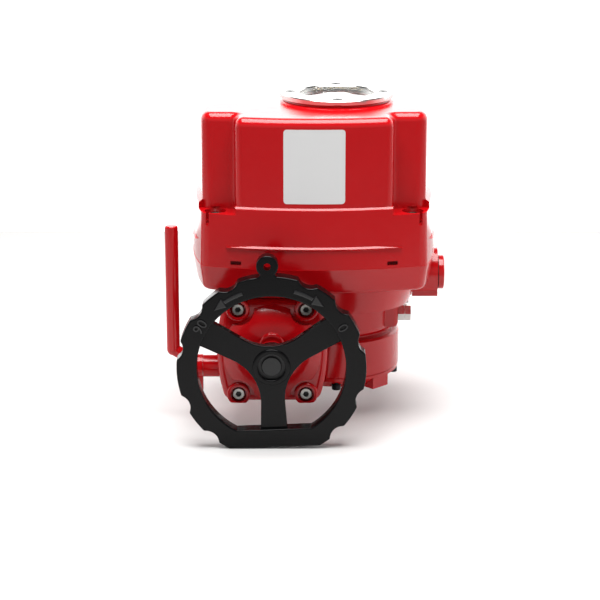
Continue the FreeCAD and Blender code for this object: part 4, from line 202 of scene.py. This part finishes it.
black_iron = black_painted_iron("black_painted_cast_iron", "#050506", "#0A0A0B", 0.16)
# The paler mix is paint rubbed off the raised marks, and it also paints a highlight on them.
rubbed_iron_and_painted_highlight = black_painted_iron("rubbed_black_cast_iron_and_painted_highlight", "#0C0C0D", "#151517", 0.5)

# %% [markdown]
# The cover bolts and the stop bolts are stainless steel, tumbled smooth. The gear cover's screws are zinc
# plated, and those of the mounting plate have black oxide. The window ring's screws get the same dark steel,
# which paints the shade in their countersinks. Inside are hardened steel, bronze and milled aluminium.
# Bare metals differ only in colour and in how they were finished, so one function makes them all: a noise as
# fine as tool marks varies the colour, the roughness and a slight bump together, because a scratch on real
# metal changes all three.

# %% Metals
TOOL_MARK = 0.5 * MM
MILL_MARK = 0.8 * MM


def worked_metal(name, light, dark, smooth, rough, mark=TOOL_MARK):
    """A bare metal: two close colours and a roughness that varies with the tool marks."""
    material, at = start_material(name)
    marks = add_node(material, "ShaderNodeTexNoise", {"Scale": 1 / mark, "Detail": 2.0},
                     {"Vector": (at, "Object")})
    tint = add_node(material, "ShaderNodeValToRGB", links={"Fac": (marks, "Fac")})
    tint.color_ramp.elements[0].color = linear(dark)
    tint.color_ramp.elements[1].color = linear(light)
    sheen = add_node(material, "ShaderNodeMapRange", {"To Min": smooth, "To Max": rough},
                     {"Value": (marks, "Fac")})
    relief = add_node(material, "ShaderNodeBump", {"Strength": 0.1, "Distance": 0.03 * MM},
                      {"Height": (marks, "Fac")})
    metal = add_node(material, "ShaderNodeBsdfPrincipled", {"Metallic": 1.0},
                     {"Base Color": (tint, "Color"), "Roughness": (sheen, "Result"),
                      "Normal": (relief, "Normal")})
    return finish_material(material, metal)


polished = worked_metal("tumbled_stainless_steel", "#E4E2DE", "#C9C7C3", 0.12, 0.26)
zinc = worked_metal("zinc_plated_steel", "#BDBDB8", "#9C9C97", 0.25, 0.42)
# This dark steel is black oxide on the mounting plate's screws, and painted shade on the window ring's
# screws.
dark_oxide_and_painted_shade = worked_metal("black_oxide_steel_and_painted_shade", "#2C2C2E", "#1B1B1D", 0.3, 0.45)
ground = worked_metal("ground_hardened_steel", "#8E8F92", "#6F7073", 0.18, 0.34)
bronze = worked_metal("tin_bronze", "#B98D4B", "#9A7138", 0.28, 0.45)
milled = worked_metal("milled_aluminium", "#C9CBCC", "#B1B3B5", 0.3, 0.45, MILL_MARK)

# %% [markdown]
# The window ring is stainless steel too, but turned on a lathe. The tool leaves fine circles about its axis,
# which stretch each highlight across them. A wave texture in rings draws such circles on any turned part.
# At scale 1 its crests are pi / 10 apart, so that length over the real pitch is the scale.
# Real turning marks lie closer than a render can show, so these are drawn a few times coarser.

# %% Turned window ring
RING_PITCH = 0.9 * MM
WAVE_LENGTH = math.pi / 10


def lathe_turned_stainless():
    """Stainless steel with the fine rings that a lathe leaves, about the window's upright axis."""
    material, at = start_material("lathe_turned_stainless_steel")
    rings = add_node(material, "ShaderNodeTexWave",
                     {"Scale": WAVE_LENGTH / RING_PITCH, "Distortion": 0.3, "Detail": 1.0},
                     {"Vector": (at, "Object")}, wave_type="RINGS", rings_direction="Z")
    sheen = add_node(material, "ShaderNodeMapRange", {"To Min": 0.13, "To Max": 0.2},
                     {"Value": (rings, "Fac")})
    relief = add_node(material, "ShaderNodeBump", {"Strength": 0.02, "Distance": 0.02 * MM},
                      {"Height": (rings, "Fac")})
    tint = add_node(material, "ShaderNodeValToRGB", links={"Fac": (rings, "Fac")})
    tint.color_ramp.elements[0].color = linear("#D6D5D2")
    tint.color_ramp.elements[1].color = linear("#E9E8E5")
    metal = add_node(material, "ShaderNodeBsdfPrincipled", {"Metallic": 1.0},
                     {"Base Color": (tint, "Color"), "Roughness": (sheen, "Result"),
                      "Normal": (relief, "Normal")})
    return finish_material(material, metal)


turned_ring = lathe_turned_stainless()

# %% [markdown]
# Plastics and rubber differ from paint in how soft their shine is.
# Moulded parts carry a fine spark-eroded grain from the mould, and rubber is dull with a dusty bloom.
# Enamel, film and the near-black film that paints shade in the screw sockets share a fine grain and a soft
# shine with them, so one function makes them all.

# %% Plastics and rubber
MOULD_GRAIN = 0.35 * MM


def moulded(name, dark, light, roughness):
    """A plastic, or another skin with a fine grain, in two close colours."""
    material, at = start_material(name)
    grain = add_node(material, "ShaderNodeTexNoise", {"Scale": 1 / MOULD_GRAIN, "Detail": 2.0},
                     {"Vector": (at, "Object")})
    relief = add_node(material, "ShaderNodeBump", {"Strength": 0.12, "Distance": 0.05 * MM},
                      {"Height": (grain, "Fac")})
    tint = add_node(material, "ShaderNodeValToRGB", links={"Fac": (grain, "Fac")})
    tint.color_ramp.elements[0].color = linear(dark)
    tint.color_ramp.elements[1].color = linear(light)
    plastic = add_node(material, "ShaderNodeBsdfPrincipled", {"IOR": 1.5, "Roughness": roughness},
                       {"Base Color": (tint, "Color"), "Normal": (relief, "Normal")})
    return finish_material(material, plastic)


black_plastic = moulded("black_moulded_plastic", "#151517", "#1D1D20", 0.45)
grey_plastic = moulded("grey_moulded_plastic", "#77797B", "#858789", 0.42)
cap_grey = moulded("dark_grey_cap_plastic", "#0E0F10", "#141516", 0.5)
yellow = moulded("yellow_dial_plastic", "#D9A10C", "#E4B01A", 0.32)
rubber = moulded("black_nitrile_rubber", "#0E0E0F", "#19191A", 0.75)
enamel = moulded("dark_grey_motor_enamel", "#23262A", "#2C3034", 0.35)
sticker_film = moulded("matt_grey_sticker_film", "#CDCDCD", "#D5D5D5", 0.6)
# This near-black film is painted shade, laid on the floors of the screw sockets.
socket_shade_finish = moulded("near_black_painted_shade_film", "#0A0A0A", "#141413", 0.4)

# %% [markdown]
# The sight glass over the dial is toughened and clear. A shader can let light through with its transmission
# alone, because the glass is a solid disc in the frame. Perfect gloss looks unreal, so the faint marks of a
# wiping cloth, about a centimetre wide, vary it a little.

# %% Sight glass
WIPE_SIZE = 9 * MM


def toughened_glass():
    """Clear sight glass with a faint grey tint and a few wipe marks in its gloss."""
    material, at = start_material("toughened_sight_glass")
    wipes = add_node(material, "ShaderNodeTexNoise", {"Scale": 1 / WIPE_SIZE, "Detail": 4.0},
                     {"Vector": (at, "Object")})
    gloss = add_node(material, "ShaderNodeMapRange", {"To Min": 0.01, "To Max": 0.05},
                     {"Value": (wipes, "Fac")})
    pane = add_node(material, "ShaderNodeBsdfPrincipled",
                    {"Base Color": linear("#C9D0D2"), "IOR": 1.52, "Transmission Weight": 1.0},
                    {"Roughness": (gloss, "Result")})
    return finish_material(material, pane)


glass = toughened_glass()

# %% [markdown]
# The solid parts come with the name of a material slot each, and every slot gets its finish here.
# A few parts share a slot with others but look different on the real thing, so they get one of their own.
# Assigning to an object's material slots leaves the meshes of the frame as they came.

# %% Finish the solid parts
FINISH = {
    "red_paint": red, "black_casting": black_iron, "stainless": polished, "zinc_steel": zinc,
    "hard_steel": ground, "bronze": bronze, "rubber": rubber, "clear_glass": glass, "bare_aluminium": milled,
    "motor_enamel": enamel, "dial_plastic": yellow, "black_plastic": black_plastic,
    "grey_plastic": grey_plastic,
}
# The window ring's screws take the dark oxide steel as painted shade for their countersinks.
OWN_FINISH = {
    "window_bezel": turned_ring, "bezel_screws": dark_oxide_and_painted_shade, "hub_cap": cap_grey,
    "mounting_plate_screws": dark_oxide_and_painted_shade, "gear_cover_screws": zinc,
}

slot_of = {row["node"]: row["material_slot"] for row in frame["record"]["subparts"]}
for name, node in frame["nodes"].items():
    finish = OWN_FINISH.get(name, FINISH[slot_of[name]])
    for place in node.material_slots:
        place.material = finish
print("finishes set on", len(frame["nodes"]), "pieces")

# %% [markdown]
# Most of the new pieces start flat: a mark, a film, a strip. One helper thickens them. A Solidify modifier
# could do it too, but an extrusion hands back the new front, which a piece may want to bevel. Where a flat
# shape has an open rim, an extrusion keeps the old faces as its back, and the result is closed.
# Every piece is then turned into a mesh object at the origin and told which body carries it, and a second
# helper does these last steps. It counts open edges too, because a closed mesh has none.

# %% Thicken a flat shape and make a piece


def thicken(shape, offset):
    """Extrude every face of a flat shape by an offset, and return the vertices of the new front."""
    grown = bmesh.ops.extrude_face_region(shape, geom=list(shape.faces))["geom"]
    front = [part for part in grown if isinstance(part, bmesh.types.BMVert)]
    bmesh.ops.translate(shape, verts=front, vec=offset)
    return front


def make_piece(name, shape, finish, body):
    """Turn a bmesh into an object at the origin that rides on a body."""
    bmesh.ops.recalc_face_normals(shape, faces=shape.faces)
    open_edges = sum(not edge.is_manifold for edge in shape.edges)
    mesh = bpy.data.meshes.new(name)
    shape.to_mesh(mesh)
    shape.free()
    mesh.materials.append(finish)
    piece = bpy.data.objects.new(name, mesh)
    bpy.context.scene.collection.objects.link(piece)
    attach(piece, body)
    print(name, len(mesh.polygons), "faces on", body + ",", open_edges, "open edges")
    return piece


# %% [markdown]
# Foundries cast the turning directions onto a handwheel as low raised marks, which can't wear off.
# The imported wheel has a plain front, and that flat face already touches the frame's box.
# A merged copy stands for it: its front is drawn back by under two millimetres, and the marks fill that gap.
# Moving only the front face would leave a step, so the whole front zone is scaled about its back plane, and
# the wheel keeps its outline.

# %% Handwheel casting
WHEEL_CENTRE = Vector((-70.0, 0.0, 56.5)) * MM
WHEEL_TURN = 2.1
WHEEL_FRONT = cad_low[1]
FRONT_ZONE = 8 * MM
MARK_RISE = 1.8 * MM
MERGE_GAP = 0.001 * MM

wheel_shape = bmesh.new()
wheel_shape.from_mesh(frame["nodes"]["handwheel"].data)
bmesh.ops.remove_doubles(wheel_shape, verts=wheel_shape.verts, dist=MERGE_GAP)
zone_back = WHEEL_FRONT + FRONT_ZONE
front_zone = [vert for vert in wheel_shape.verts if vert.co.y < zone_back]
bmesh.ops.scale(wheel_shape, verts=front_zone, vec=(1.0, 1 - MARK_RISE / FRONT_ZONE, 1.0),
                space=Matrix.Translation((0.0, -zone_back, 0.0)))
wheel_casting = make_piece("wheel_casting", wheel_shape, black_iron, "handwheel")
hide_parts("handwheel")

# %% [markdown]
# A raised mark starts as a flat shape on the rim and is thickened to the front. Its foot sinks a little into
# the rim, so that no gap shows, and a bevel round its front gives it the soft shoulders of a sand casting.
# Only edges sharper than half a radian on the very front take the bevel, so seams in a shape stay smooth.
# A painted bump would be quicker, but marks that stand proud have to show in the outline too.

# %% Marks on the rim
MARK_RADIUS = 87.6 * MM
MARK_SINK = 0.3 * MM
MARK_FOOT = WHEEL_FRONT + MARK_RISE + MARK_SINK
MARK_ROUND = 1.1 * MM
FRONT_MARGIN = 0.1 * MM
SHARP_ANGLE = 0.5
STAND_UP = Matrix.Rotation(math.pi / 2, 4, "X")


def rim_place(degrees):
    """The wheel's own place at an angle from its ear, counter-clockwise as seen from the front."""
    return Matrix.Translation(WHEEL_CENTRE) @ Matrix.Rotation(-math.radians(degrees + WHEEL_TURN), 4, "Y")


def raise_mark(shape, rounding=MARK_ROUND):
    """Give a flat mark on the wheel's front its thickness and soft front edges."""
    thicken(shape, (0.0, -(MARK_RISE + MARK_SINK), 0.0))
    rims = [edge for edge in shape.edges if edge.calc_face_angle(0.0) > SHARP_ANGLE
            and all(vert.co.y < WHEEL_FRONT + FRONT_MARGIN for vert in edge.verts)]
    bmesh.ops.bevel(shape, geom=rims, offset=rounding, segments=2, profile=0.5, affect="EDGES", material=-1,
                    clamp_overlap=True)


print("marks stand", round(MARK_RISE / MM, 1), "mm proud of the rim")

# %% [markdown]
# Each arrow is a curved shaft with a triangular head, bent to the rim. It could be a bevelled curve, but
# spinning one short edge about the hub follows the rim exactly, and the head is a circle of three corners.
# Their places are angles in degrees from the wheel's ear.

# %% Raised arrows
SHAFT_HALF = 2.2 * MM
HEAD_HALF = 6.0 * MM
SHAFT_START = 17.5
HEAD_START = 32.0
ARROW_TIP = 41.4
SHAFT_STEPS = 10


def arrow(name, way):
    """One raised arrow: way is +1 for counter-clockwise and -1 for clockwise."""
    shape = bmesh.new()
    start = rim_place(way * SHAFT_START)
    ends = [shape.verts.new(start @ Vector((0.0, MARK_FOOT, MARK_RADIUS + side)))
            for side in (-SHAFT_HALF, SHAFT_HALF)]
    edge = shape.edges.new(ends)
    bmesh.ops.spin(shape, geom=[edge, *ends], cent=WHEEL_CENTRE, axis=(0.0, -1.0, 0.0),
                   angle=math.radians(way * (HEAD_START - SHAFT_START)), steps=SHAFT_STEPS)
    raise_mark(shape)
    head = bmesh.new()
    corners = bmesh.ops.create_circle(head, segments=3, radius=1.0, cap_ends=True)["verts"]
    places = [(HEAD_START, -HEAD_HALF), (HEAD_START, HEAD_HALF), (ARROW_TIP, 0.0)]
    for vert, (angle, side) in zip(corners, places):
        vert.co = rim_place(way * angle) @ Vector((0.0, MARK_FOOT, MARK_RADIUS + side))
    raise_mark(head)
    spare = bpy.data.meshes.new(name + "_head")
    head.to_mesh(spare)
    head.free()
    shape.from_mesh(spare)
    return make_piece(name, shape, rubbed_iron_and_painted_highlight, "handwheel")


arrow("left_wheel_arrow", 1)
arrow("right_wheel_arrow", -1)

# %% [markdown]
# Beyond each arrow's tip the rim says in plain numbers of degrees where that way leads.
# A text curve is the quick way to real digits. It starts about one unit high, so it is turned into a flat
# mesh and cleaned of doubles at that size, and only then made small and put in its place.
# From there a digit is raised as an arrow is, with finer edges.

# %% Raised numbers
DIGIT_HEIGHT = 11.0 * MM
DIGIT_ROUND = 0.35 * MM
CURVE_STEPS = 4
TEXT_MERGE = 0.001
NUMBERS = {"left_wheel_number": ("90", 56.0), "right_wheel_number": ("0", -61.0)}


def raised_number(name, text, degrees):
    """Plain digits on the rim, upright from the hub outwards."""
    curve = bpy.data.curves.new(name + "_text", "FONT")
    curve.body = text
    curve.resolution_u = CURVE_STEPS
    writer = bpy.data.objects.new(name + "_text", curve)
    bpy.context.scene.collection.objects.link(writer)
    bpy.context.view_layer.update()
    shape = bmesh.new()
    shape.from_mesh(bpy.data.meshes.new_from_object(writer))
    bpy.data.objects.remove(writer)
    bmesh.ops.remove_doubles(shape, verts=shape.verts, dist=TEXT_MERGE)
    low, high = [[pick(vert.co[i] for vert in shape.verts) for i in (0, 1)] for pick in (min, max)]
    middle = Vector(((low[0] + high[0]) / 2, (low[1] + high[1]) / 2, 0.0))
    stand = Matrix.Translation((0.0, MARK_FOOT, MARK_RADIUS)) @ STAND_UP
    size = Matrix.Scale(DIGIT_HEIGHT / (high[1] - low[1]), 4)
    bmesh.ops.transform(shape, verts=shape.verts,
                        matrix=rim_place(degrees) @ stand @ size @ Matrix.Translation(-middle))
    raise_mark(shape, DIGIT_ROUND)
    return make_piece(name, shape, rubbed_iron_and_painted_highlight, "handwheel")


for name, (text, degrees) in NUMBERS.items():
    raised_number(name, text, degrees)

# %% [markdown]
# The cover's front carries a plate sticker, and here it stays blank.
# It is a thin film that follows the bowed wall, so a flat sheet with rounded corners is cut into strips that
# can bend, and a ray along +Y finds the wall behind each point. A Shrinkwrap modifier would do this too, but
# the ray works in the same bmesh. The sheet is thickened last, to the front.

# %% Blank sticker
STICKER_MIDDLE = Vector((-25.0, 0.0, 264.0)) * MM
STICKER_WIDTH = 64.5 * MM
STICKER_HEIGHT = 79.0 * MM
STICKER_CORNER = 3.5 * MM
CORNER_STEPS = 5
STICKER_STRIP = 4.0 * MM
FILM_RISE = 0.15 * MM
FILM_SINK = 0.05 * MM

wall = bmesh.new()
wall.from_mesh(frame["nodes"]["top_cover"].data)
wall_tree = BVHTree.FromBMesh(wall)
film = bmesh.new()
bmesh.ops.create_grid(film, x_segments=1, y_segments=1, size=0.5)
bmesh.ops.scale(film, verts=film.verts, vec=(STICKER_WIDTH, STICKER_HEIGHT, 1.0))
bmesh.ops.bevel(film, geom=list(film.verts), offset=STICKER_CORNER, segments=CORNER_STEPS, profile=0.5,
                affect="VERTICES", material=-1)
for axis, length in ((Vector((1, 0, 0)), STICKER_WIDTH), (Vector((0, 1, 0)), STICKER_HEIGHT)):
    count = round(length / STICKER_STRIP)
    for i in range(1, count):
        cut = axis * (length * (i / count - 0.5))
        bmesh.ops.bisect_plane(film, geom=[*film.verts, *film.edges, *film.faces],
                               plane_co=cut, plane_no=axis)
bmesh.ops.transform(film, verts=film.verts, matrix=Matrix.Translation(STICKER_MIDDLE) @ STAND_UP)
for vert in film.verts:
    start = Vector((vert.co.x, WHEEL_FRONT, vert.co.z))
    vert.co.y = wall_tree.ray_cast(start, Vector((0, 1, 0)))[0].y + FILM_SINK
thicken(film, (0.0, -(FILM_RISE + FILM_SINK), 0.0))
make_piece("blank_sticker", film, sticker_film, "housing")
wall.free()

# %% [markdown]
# The socket of a screw is deep and narrow, so its floor lies in shade, and a dark disc on it paints that
# shade.
# It could be a dark patch in the steel's pattern, but a disc on the bottom of each of the gear cover's four
# sockets has a real edge: flat, thickened, with its front rim bevelled.
# The four screws are one solid part, so its box and the radius of a head give the middle of each.

# %% Painted shade in the sockets
SHADE_DISC_RADIUS = 3.15 * MM
SHADE_DISC_THICKNESS = 0.5 * MM
SHADE_DISC_ROUND = 0.2 * MM
SHADE_DISC_CORNERS = 18
SOCKET_DEPTH = 4.4 * MM
HEAD_RADIUS = 6.5 * MM

screws_low, screws_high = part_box("gear_cover_screws")
shade_discs = bmesh.new()
for x in (screws_low[0] + HEAD_RADIUS, screws_high[0] - HEAD_RADIUS):
    for z in (screws_low[2] + HEAD_RADIUS, screws_high[2] - HEAD_RADIUS):
        bmesh.ops.create_circle(shade_discs, segments=SHADE_DISC_CORNERS, radius=SHADE_DISC_RADIUS, cap_ends=True,
                                matrix=Matrix.Translation((x, screws_low[1] + SOCKET_DEPTH, z)) @ STAND_UP)
front = thicken(shade_discs, (0.0, -SHADE_DISC_THICKNESS, 0.0))
rims = [edge for edge in shade_discs.edges if edge.verts[0] in front and edge.verts[1] in front]
bmesh.ops.bevel(shade_discs, geom=rims, offset=SHADE_DISC_ROUND, segments=2, profile=0.5, affect="EDGES", material=-1)
# These dark discs paint the shade on the floors of the four sockets.
make_piece("painted_socket_shade", shade_discs, socket_shade_finish, "housing")

# %% [markdown]
# Under the window a yellow dial turns with the output, and a bar across it points along the valve's passage.
# On the real dial the bar is black, so that it reads from a distance: two thin strips, one on each side of
# the shaft's end, with rounded corners and a little thickness. A painted pattern would blur at its ends,
# so they are pieces of their own, and they ride with the dial.

# %% Dial pointer
STRIP_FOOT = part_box("position_indicator")[1][2] - FILM_SINK
STRIP_INNER = 9.0 * MM
STRIP_OUTER = 28.5 * MM
STRIP_WIDTH = 6.0 * MM
STRIP_THICKNESS = 0.3 * MM
STRIP_CORNER = 1.5 * MM

strips = bmesh.new()
for side in (-1, 1):
    strip = bmesh.ops.create_grid(strips, x_segments=1, y_segments=1, size=0.5)["verts"]
    bmesh.ops.scale(strips, verts=strip, vec=(STRIP_OUTER - STRIP_INNER, STRIP_WIDTH, 1.0))
    bmesh.ops.translate(strips, verts=strip, vec=(side * (STRIP_OUTER + STRIP_INNER) / 2, 0.0, STRIP_FOOT))
bmesh.ops.bevel(strips, geom=list(strips.verts), offset=STRIP_CORNER, segments=4, profile=0.5,
                affect="VERTICES", material=-1)
thicken(strips, (0.0, 0.0, STRIP_THICKNESS + FILM_SINK))
make_piece("dial_pointer", strips, black_plastic, "output")

# %% [markdown]
# The part stands on pale paper, and outside the picture, towards the camera, grey felt takes over.
# The paper shows white, while the upright walls mirror the felt and keep their deep colour.
# A smooth ramp along Y mixes the two tones, and a fine noise gives the paper its tooth.

# %% Paper and felt
PAPER_EDGE = -0.58
FELT_EDGE = -0.95
PAPER_FIBRE = 3 * MM


def paper_and_felt():
    """Pale paper that fades into grey felt towards the front."""
    material, at = start_material("white_paper_floor")
    fibre = add_node(material, "ShaderNodeTexNoise", {"Scale": 1 / PAPER_FIBRE}, {"Vector": (at, "Object")})
    tooth = add_node(material, "ShaderNodeBump", {"Strength": 0.05, "Distance": 0.1 * MM},
                     {"Height": (fibre, "Fac")})
    place = add_node(material, "ShaderNodeSeparateXYZ", links={"Vector": (at, "Object")})
    ahead = add_node(material, "ShaderNodeMapRange", {"From Min": FELT_EDGE, "From Max": PAPER_EDGE},
                     {"Value": (place, "Y")}, interpolation_type="SMOOTHSTEP")
    tint = add_node(material, "ShaderNodeValToRGB", links={"Fac": (ahead, "Result")})
    tint.color_ramp.elements[0].color = linear("#8C8B8A")
    tint.color_ramp.elements[1].color = linear("#CECDCC")
    paper = add_node(material, "ShaderNodeBsdfPrincipled", {"Roughness": 0.6},
                     {"Base Color": (tint, "Color"), "Normal": (tooth, "Normal")})
    return finish_material(material, paper)


floor_finish = paper_and_felt()

# %% [markdown]
# The floor itself is one flat sheet, just under the part so that the two never share a plane. It reaches far
# to the front, where views from behind would see its edge. It isn't part of the object, so it is marked as
# stage.

# %% Floor
FLOOR_WIDTH = 9.0
FLOOR_FRONT = -6.0
FLOOR_BACK = 0.8
FLOOR_DROP = 0.2 * MM

ground_sheet = bmesh.new()
bmesh.ops.create_grid(ground_sheet, x_segments=1, y_segments=1, size=0.5)
bmesh.ops.scale(ground_sheet, verts=ground_sheet.verts, vec=(FLOOR_WIDTH, FLOOR_BACK - FLOOR_FRONT, 1.0))
bmesh.ops.translate(ground_sheet, verts=ground_sheet.verts,
                    vec=(0.0, (FLOOR_BACK + FLOOR_FRONT) / 2, cad_low[2] - FLOOR_DROP))
floor_mesh = bpy.data.meshes.new("studio_floor")
ground_sheet.to_mesh(floor_mesh)
ground_sheet.free()
floor = bpy.data.objects.new("studio_floor", floor_mesh)
bpy.context.scene.collection.objects.link(floor)
floor_mesh.materials.append(floor_finish)
floor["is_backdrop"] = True
print("floor", FLOOR_WIDTH, "by", FLOOR_BACK - FLOOR_FRONT, "m")

# %% [markdown]
# Gloss shows the room, so the room comes before the lamp. It is white, and brightest behind the part, where
# it makes the background and a pale edge round every curve. It is dimmer in front, which keeps the paint
# deep, and dark overhead, which leaves the ridges to the lamp. Walls and cards could build it, as in a real
# studio, but a world needs no geometry: the Y of a ray's direction sets the brightness from front to back,
# and its Z darkens the ceiling.

# %% White room
FRONT_ENDS = -0.3
BACK_STARTS = 0.6
FRONT_GLOW = 0.45
BACK_GLOW = 2.9
CEILING_STARTS = 0.42
CEILING_DARK = 0.62
CEILING_GLOW = 0.05


def white_room():
    """A world that is bright at the back, dim in front and dark overhead."""
    world = bpy.data.worlds.new("white_room")
    world.use_nodes = True
    world.node_tree.nodes.clear()
    direction = add_node(world, "ShaderNodeTexCoord")
    parts = add_node(world, "ShaderNodeSeparateXYZ", links={"Vector": (direction, "Generated")})
    depth = add_node(world, "ShaderNodeMapRange",
                     {"From Min": FRONT_ENDS, "From Max": BACK_STARTS,
                      "To Min": FRONT_GLOW, "To Max": BACK_GLOW}, {"Value": (parts, "Y")})
    ceiling = add_node(world, "ShaderNodeMapRange",
                       {"From Min": CEILING_STARTS, "From Max": CEILING_DARK,
                        "To Min": 1.0, "To Max": CEILING_GLOW}, {"Value": (parts, "Z")})
    strength = add_node(world, "ShaderNodeMath", links={0: (depth, "Result"), 1: (ceiling, "Result")},
                        operation="MULTIPLY")
    room = add_node(world, "ShaderNodeBackground", {"Color": linear("#FFFFFF")},
                    {"Strength": (strength, "Value")})
    add_node(world, "ShaderNodeOutputWorld", links={"Surface": (room, "Background")})
    return world


bpy.context.scene.world = white_room()
print("room glows", FRONT_GLOW, "in front and", BACK_GLOW, "at the back")

# %% [markdown]
# One softbox hangs overhead, a little in front of the part. A point lamp would give hard shadows and only
# dots on gloss. A lamp as large as this one gives soft shadows, and draws one clear highlight along each
# ridge and ledge, as in a studio picture of painted castings.

# %% Softbox
SOFTBOX_PLACE = Vector((0.0, -0.24, 1.5))
SOFTBOX_AIM = Vector((0.0, -0.24, 0.0))
SOFTBOX_SIDE = 1.2
SOFTBOX_WATTS = 56

lamp = bpy.data.lights.new("top_softbox", "AREA")
lamp.shape = "RECTANGLE"
lamp.size = SOFTBOX_SIDE
lamp.size_y = SOFTBOX_SIDE
lamp.energy = SOFTBOX_WATTS
softbox = bpy.data.objects.new("top_softbox", lamp)
softbox.location = SOFTBOX_PLACE
softbox.rotation_euler = (SOFTBOX_AIM - SOFTBOX_PLACE).to_track_quat("-Z", "Y").to_euler()
bpy.context.scene.collection.objects.link(softbox)
print("softbox of", SOFTBOX_WATTS, "W,", SOFTBOX_PLACE.z, "m up")

# %% [markdown]
# The camera stands two metres in front and a little above, and a long lens keeps the sides nearly parallel.
# Its place, tilt and lens were worked out from the lines of the photograph, because a picture compares well
# only with one that is taken from the same place.
# The Standard view transform shows colours as they were written, without a film curve.

# %% Camera
CAMERA_PLACE = Vector((-39.97, -2087.8, 686.5)) * MM
CAMERA_TILT = math.radians(73.96)
CAMERA_LENS = 115.8
SENSOR_WIDTH = 36.0
CLIP_END = 50.0

optics = bpy.data.cameras.new("studio_camera")
optics.lens = CAMERA_LENS
optics.sensor_width = SENSOR_WIDTH
optics.sensor_fit = "HORIZONTAL"
optics.clip_end = CLIP_END
camera = bpy.data.objects.new("studio_camera", optics)
camera.location = CAMERA_PLACE
camera.rotation_euler = (CAMERA_TILT, 0.0, 0.0)
bpy.context.scene.collection.objects.link(camera)
bpy.context.scene.camera = camera
bpy.context.scene.view_settings.view_transform = "Standard"
print("camera", round(-CAMERA_PLACE.y, 2), "m in front, lens", CAMERA_LENS, "mm")

# %% [markdown]
# The dressed part must be as large as the imported one, so its box is measured and compared with the frame's.

# %% Write the sizes and finish
seen_low, seen_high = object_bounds()
reach = max(abs(seen - cad) for seen, cad in zip((*seen_low, *seen_high), (*cad_low, *cad_high)))
print("largest difference between the boxes:", round(reach / MM, 2), "mm")
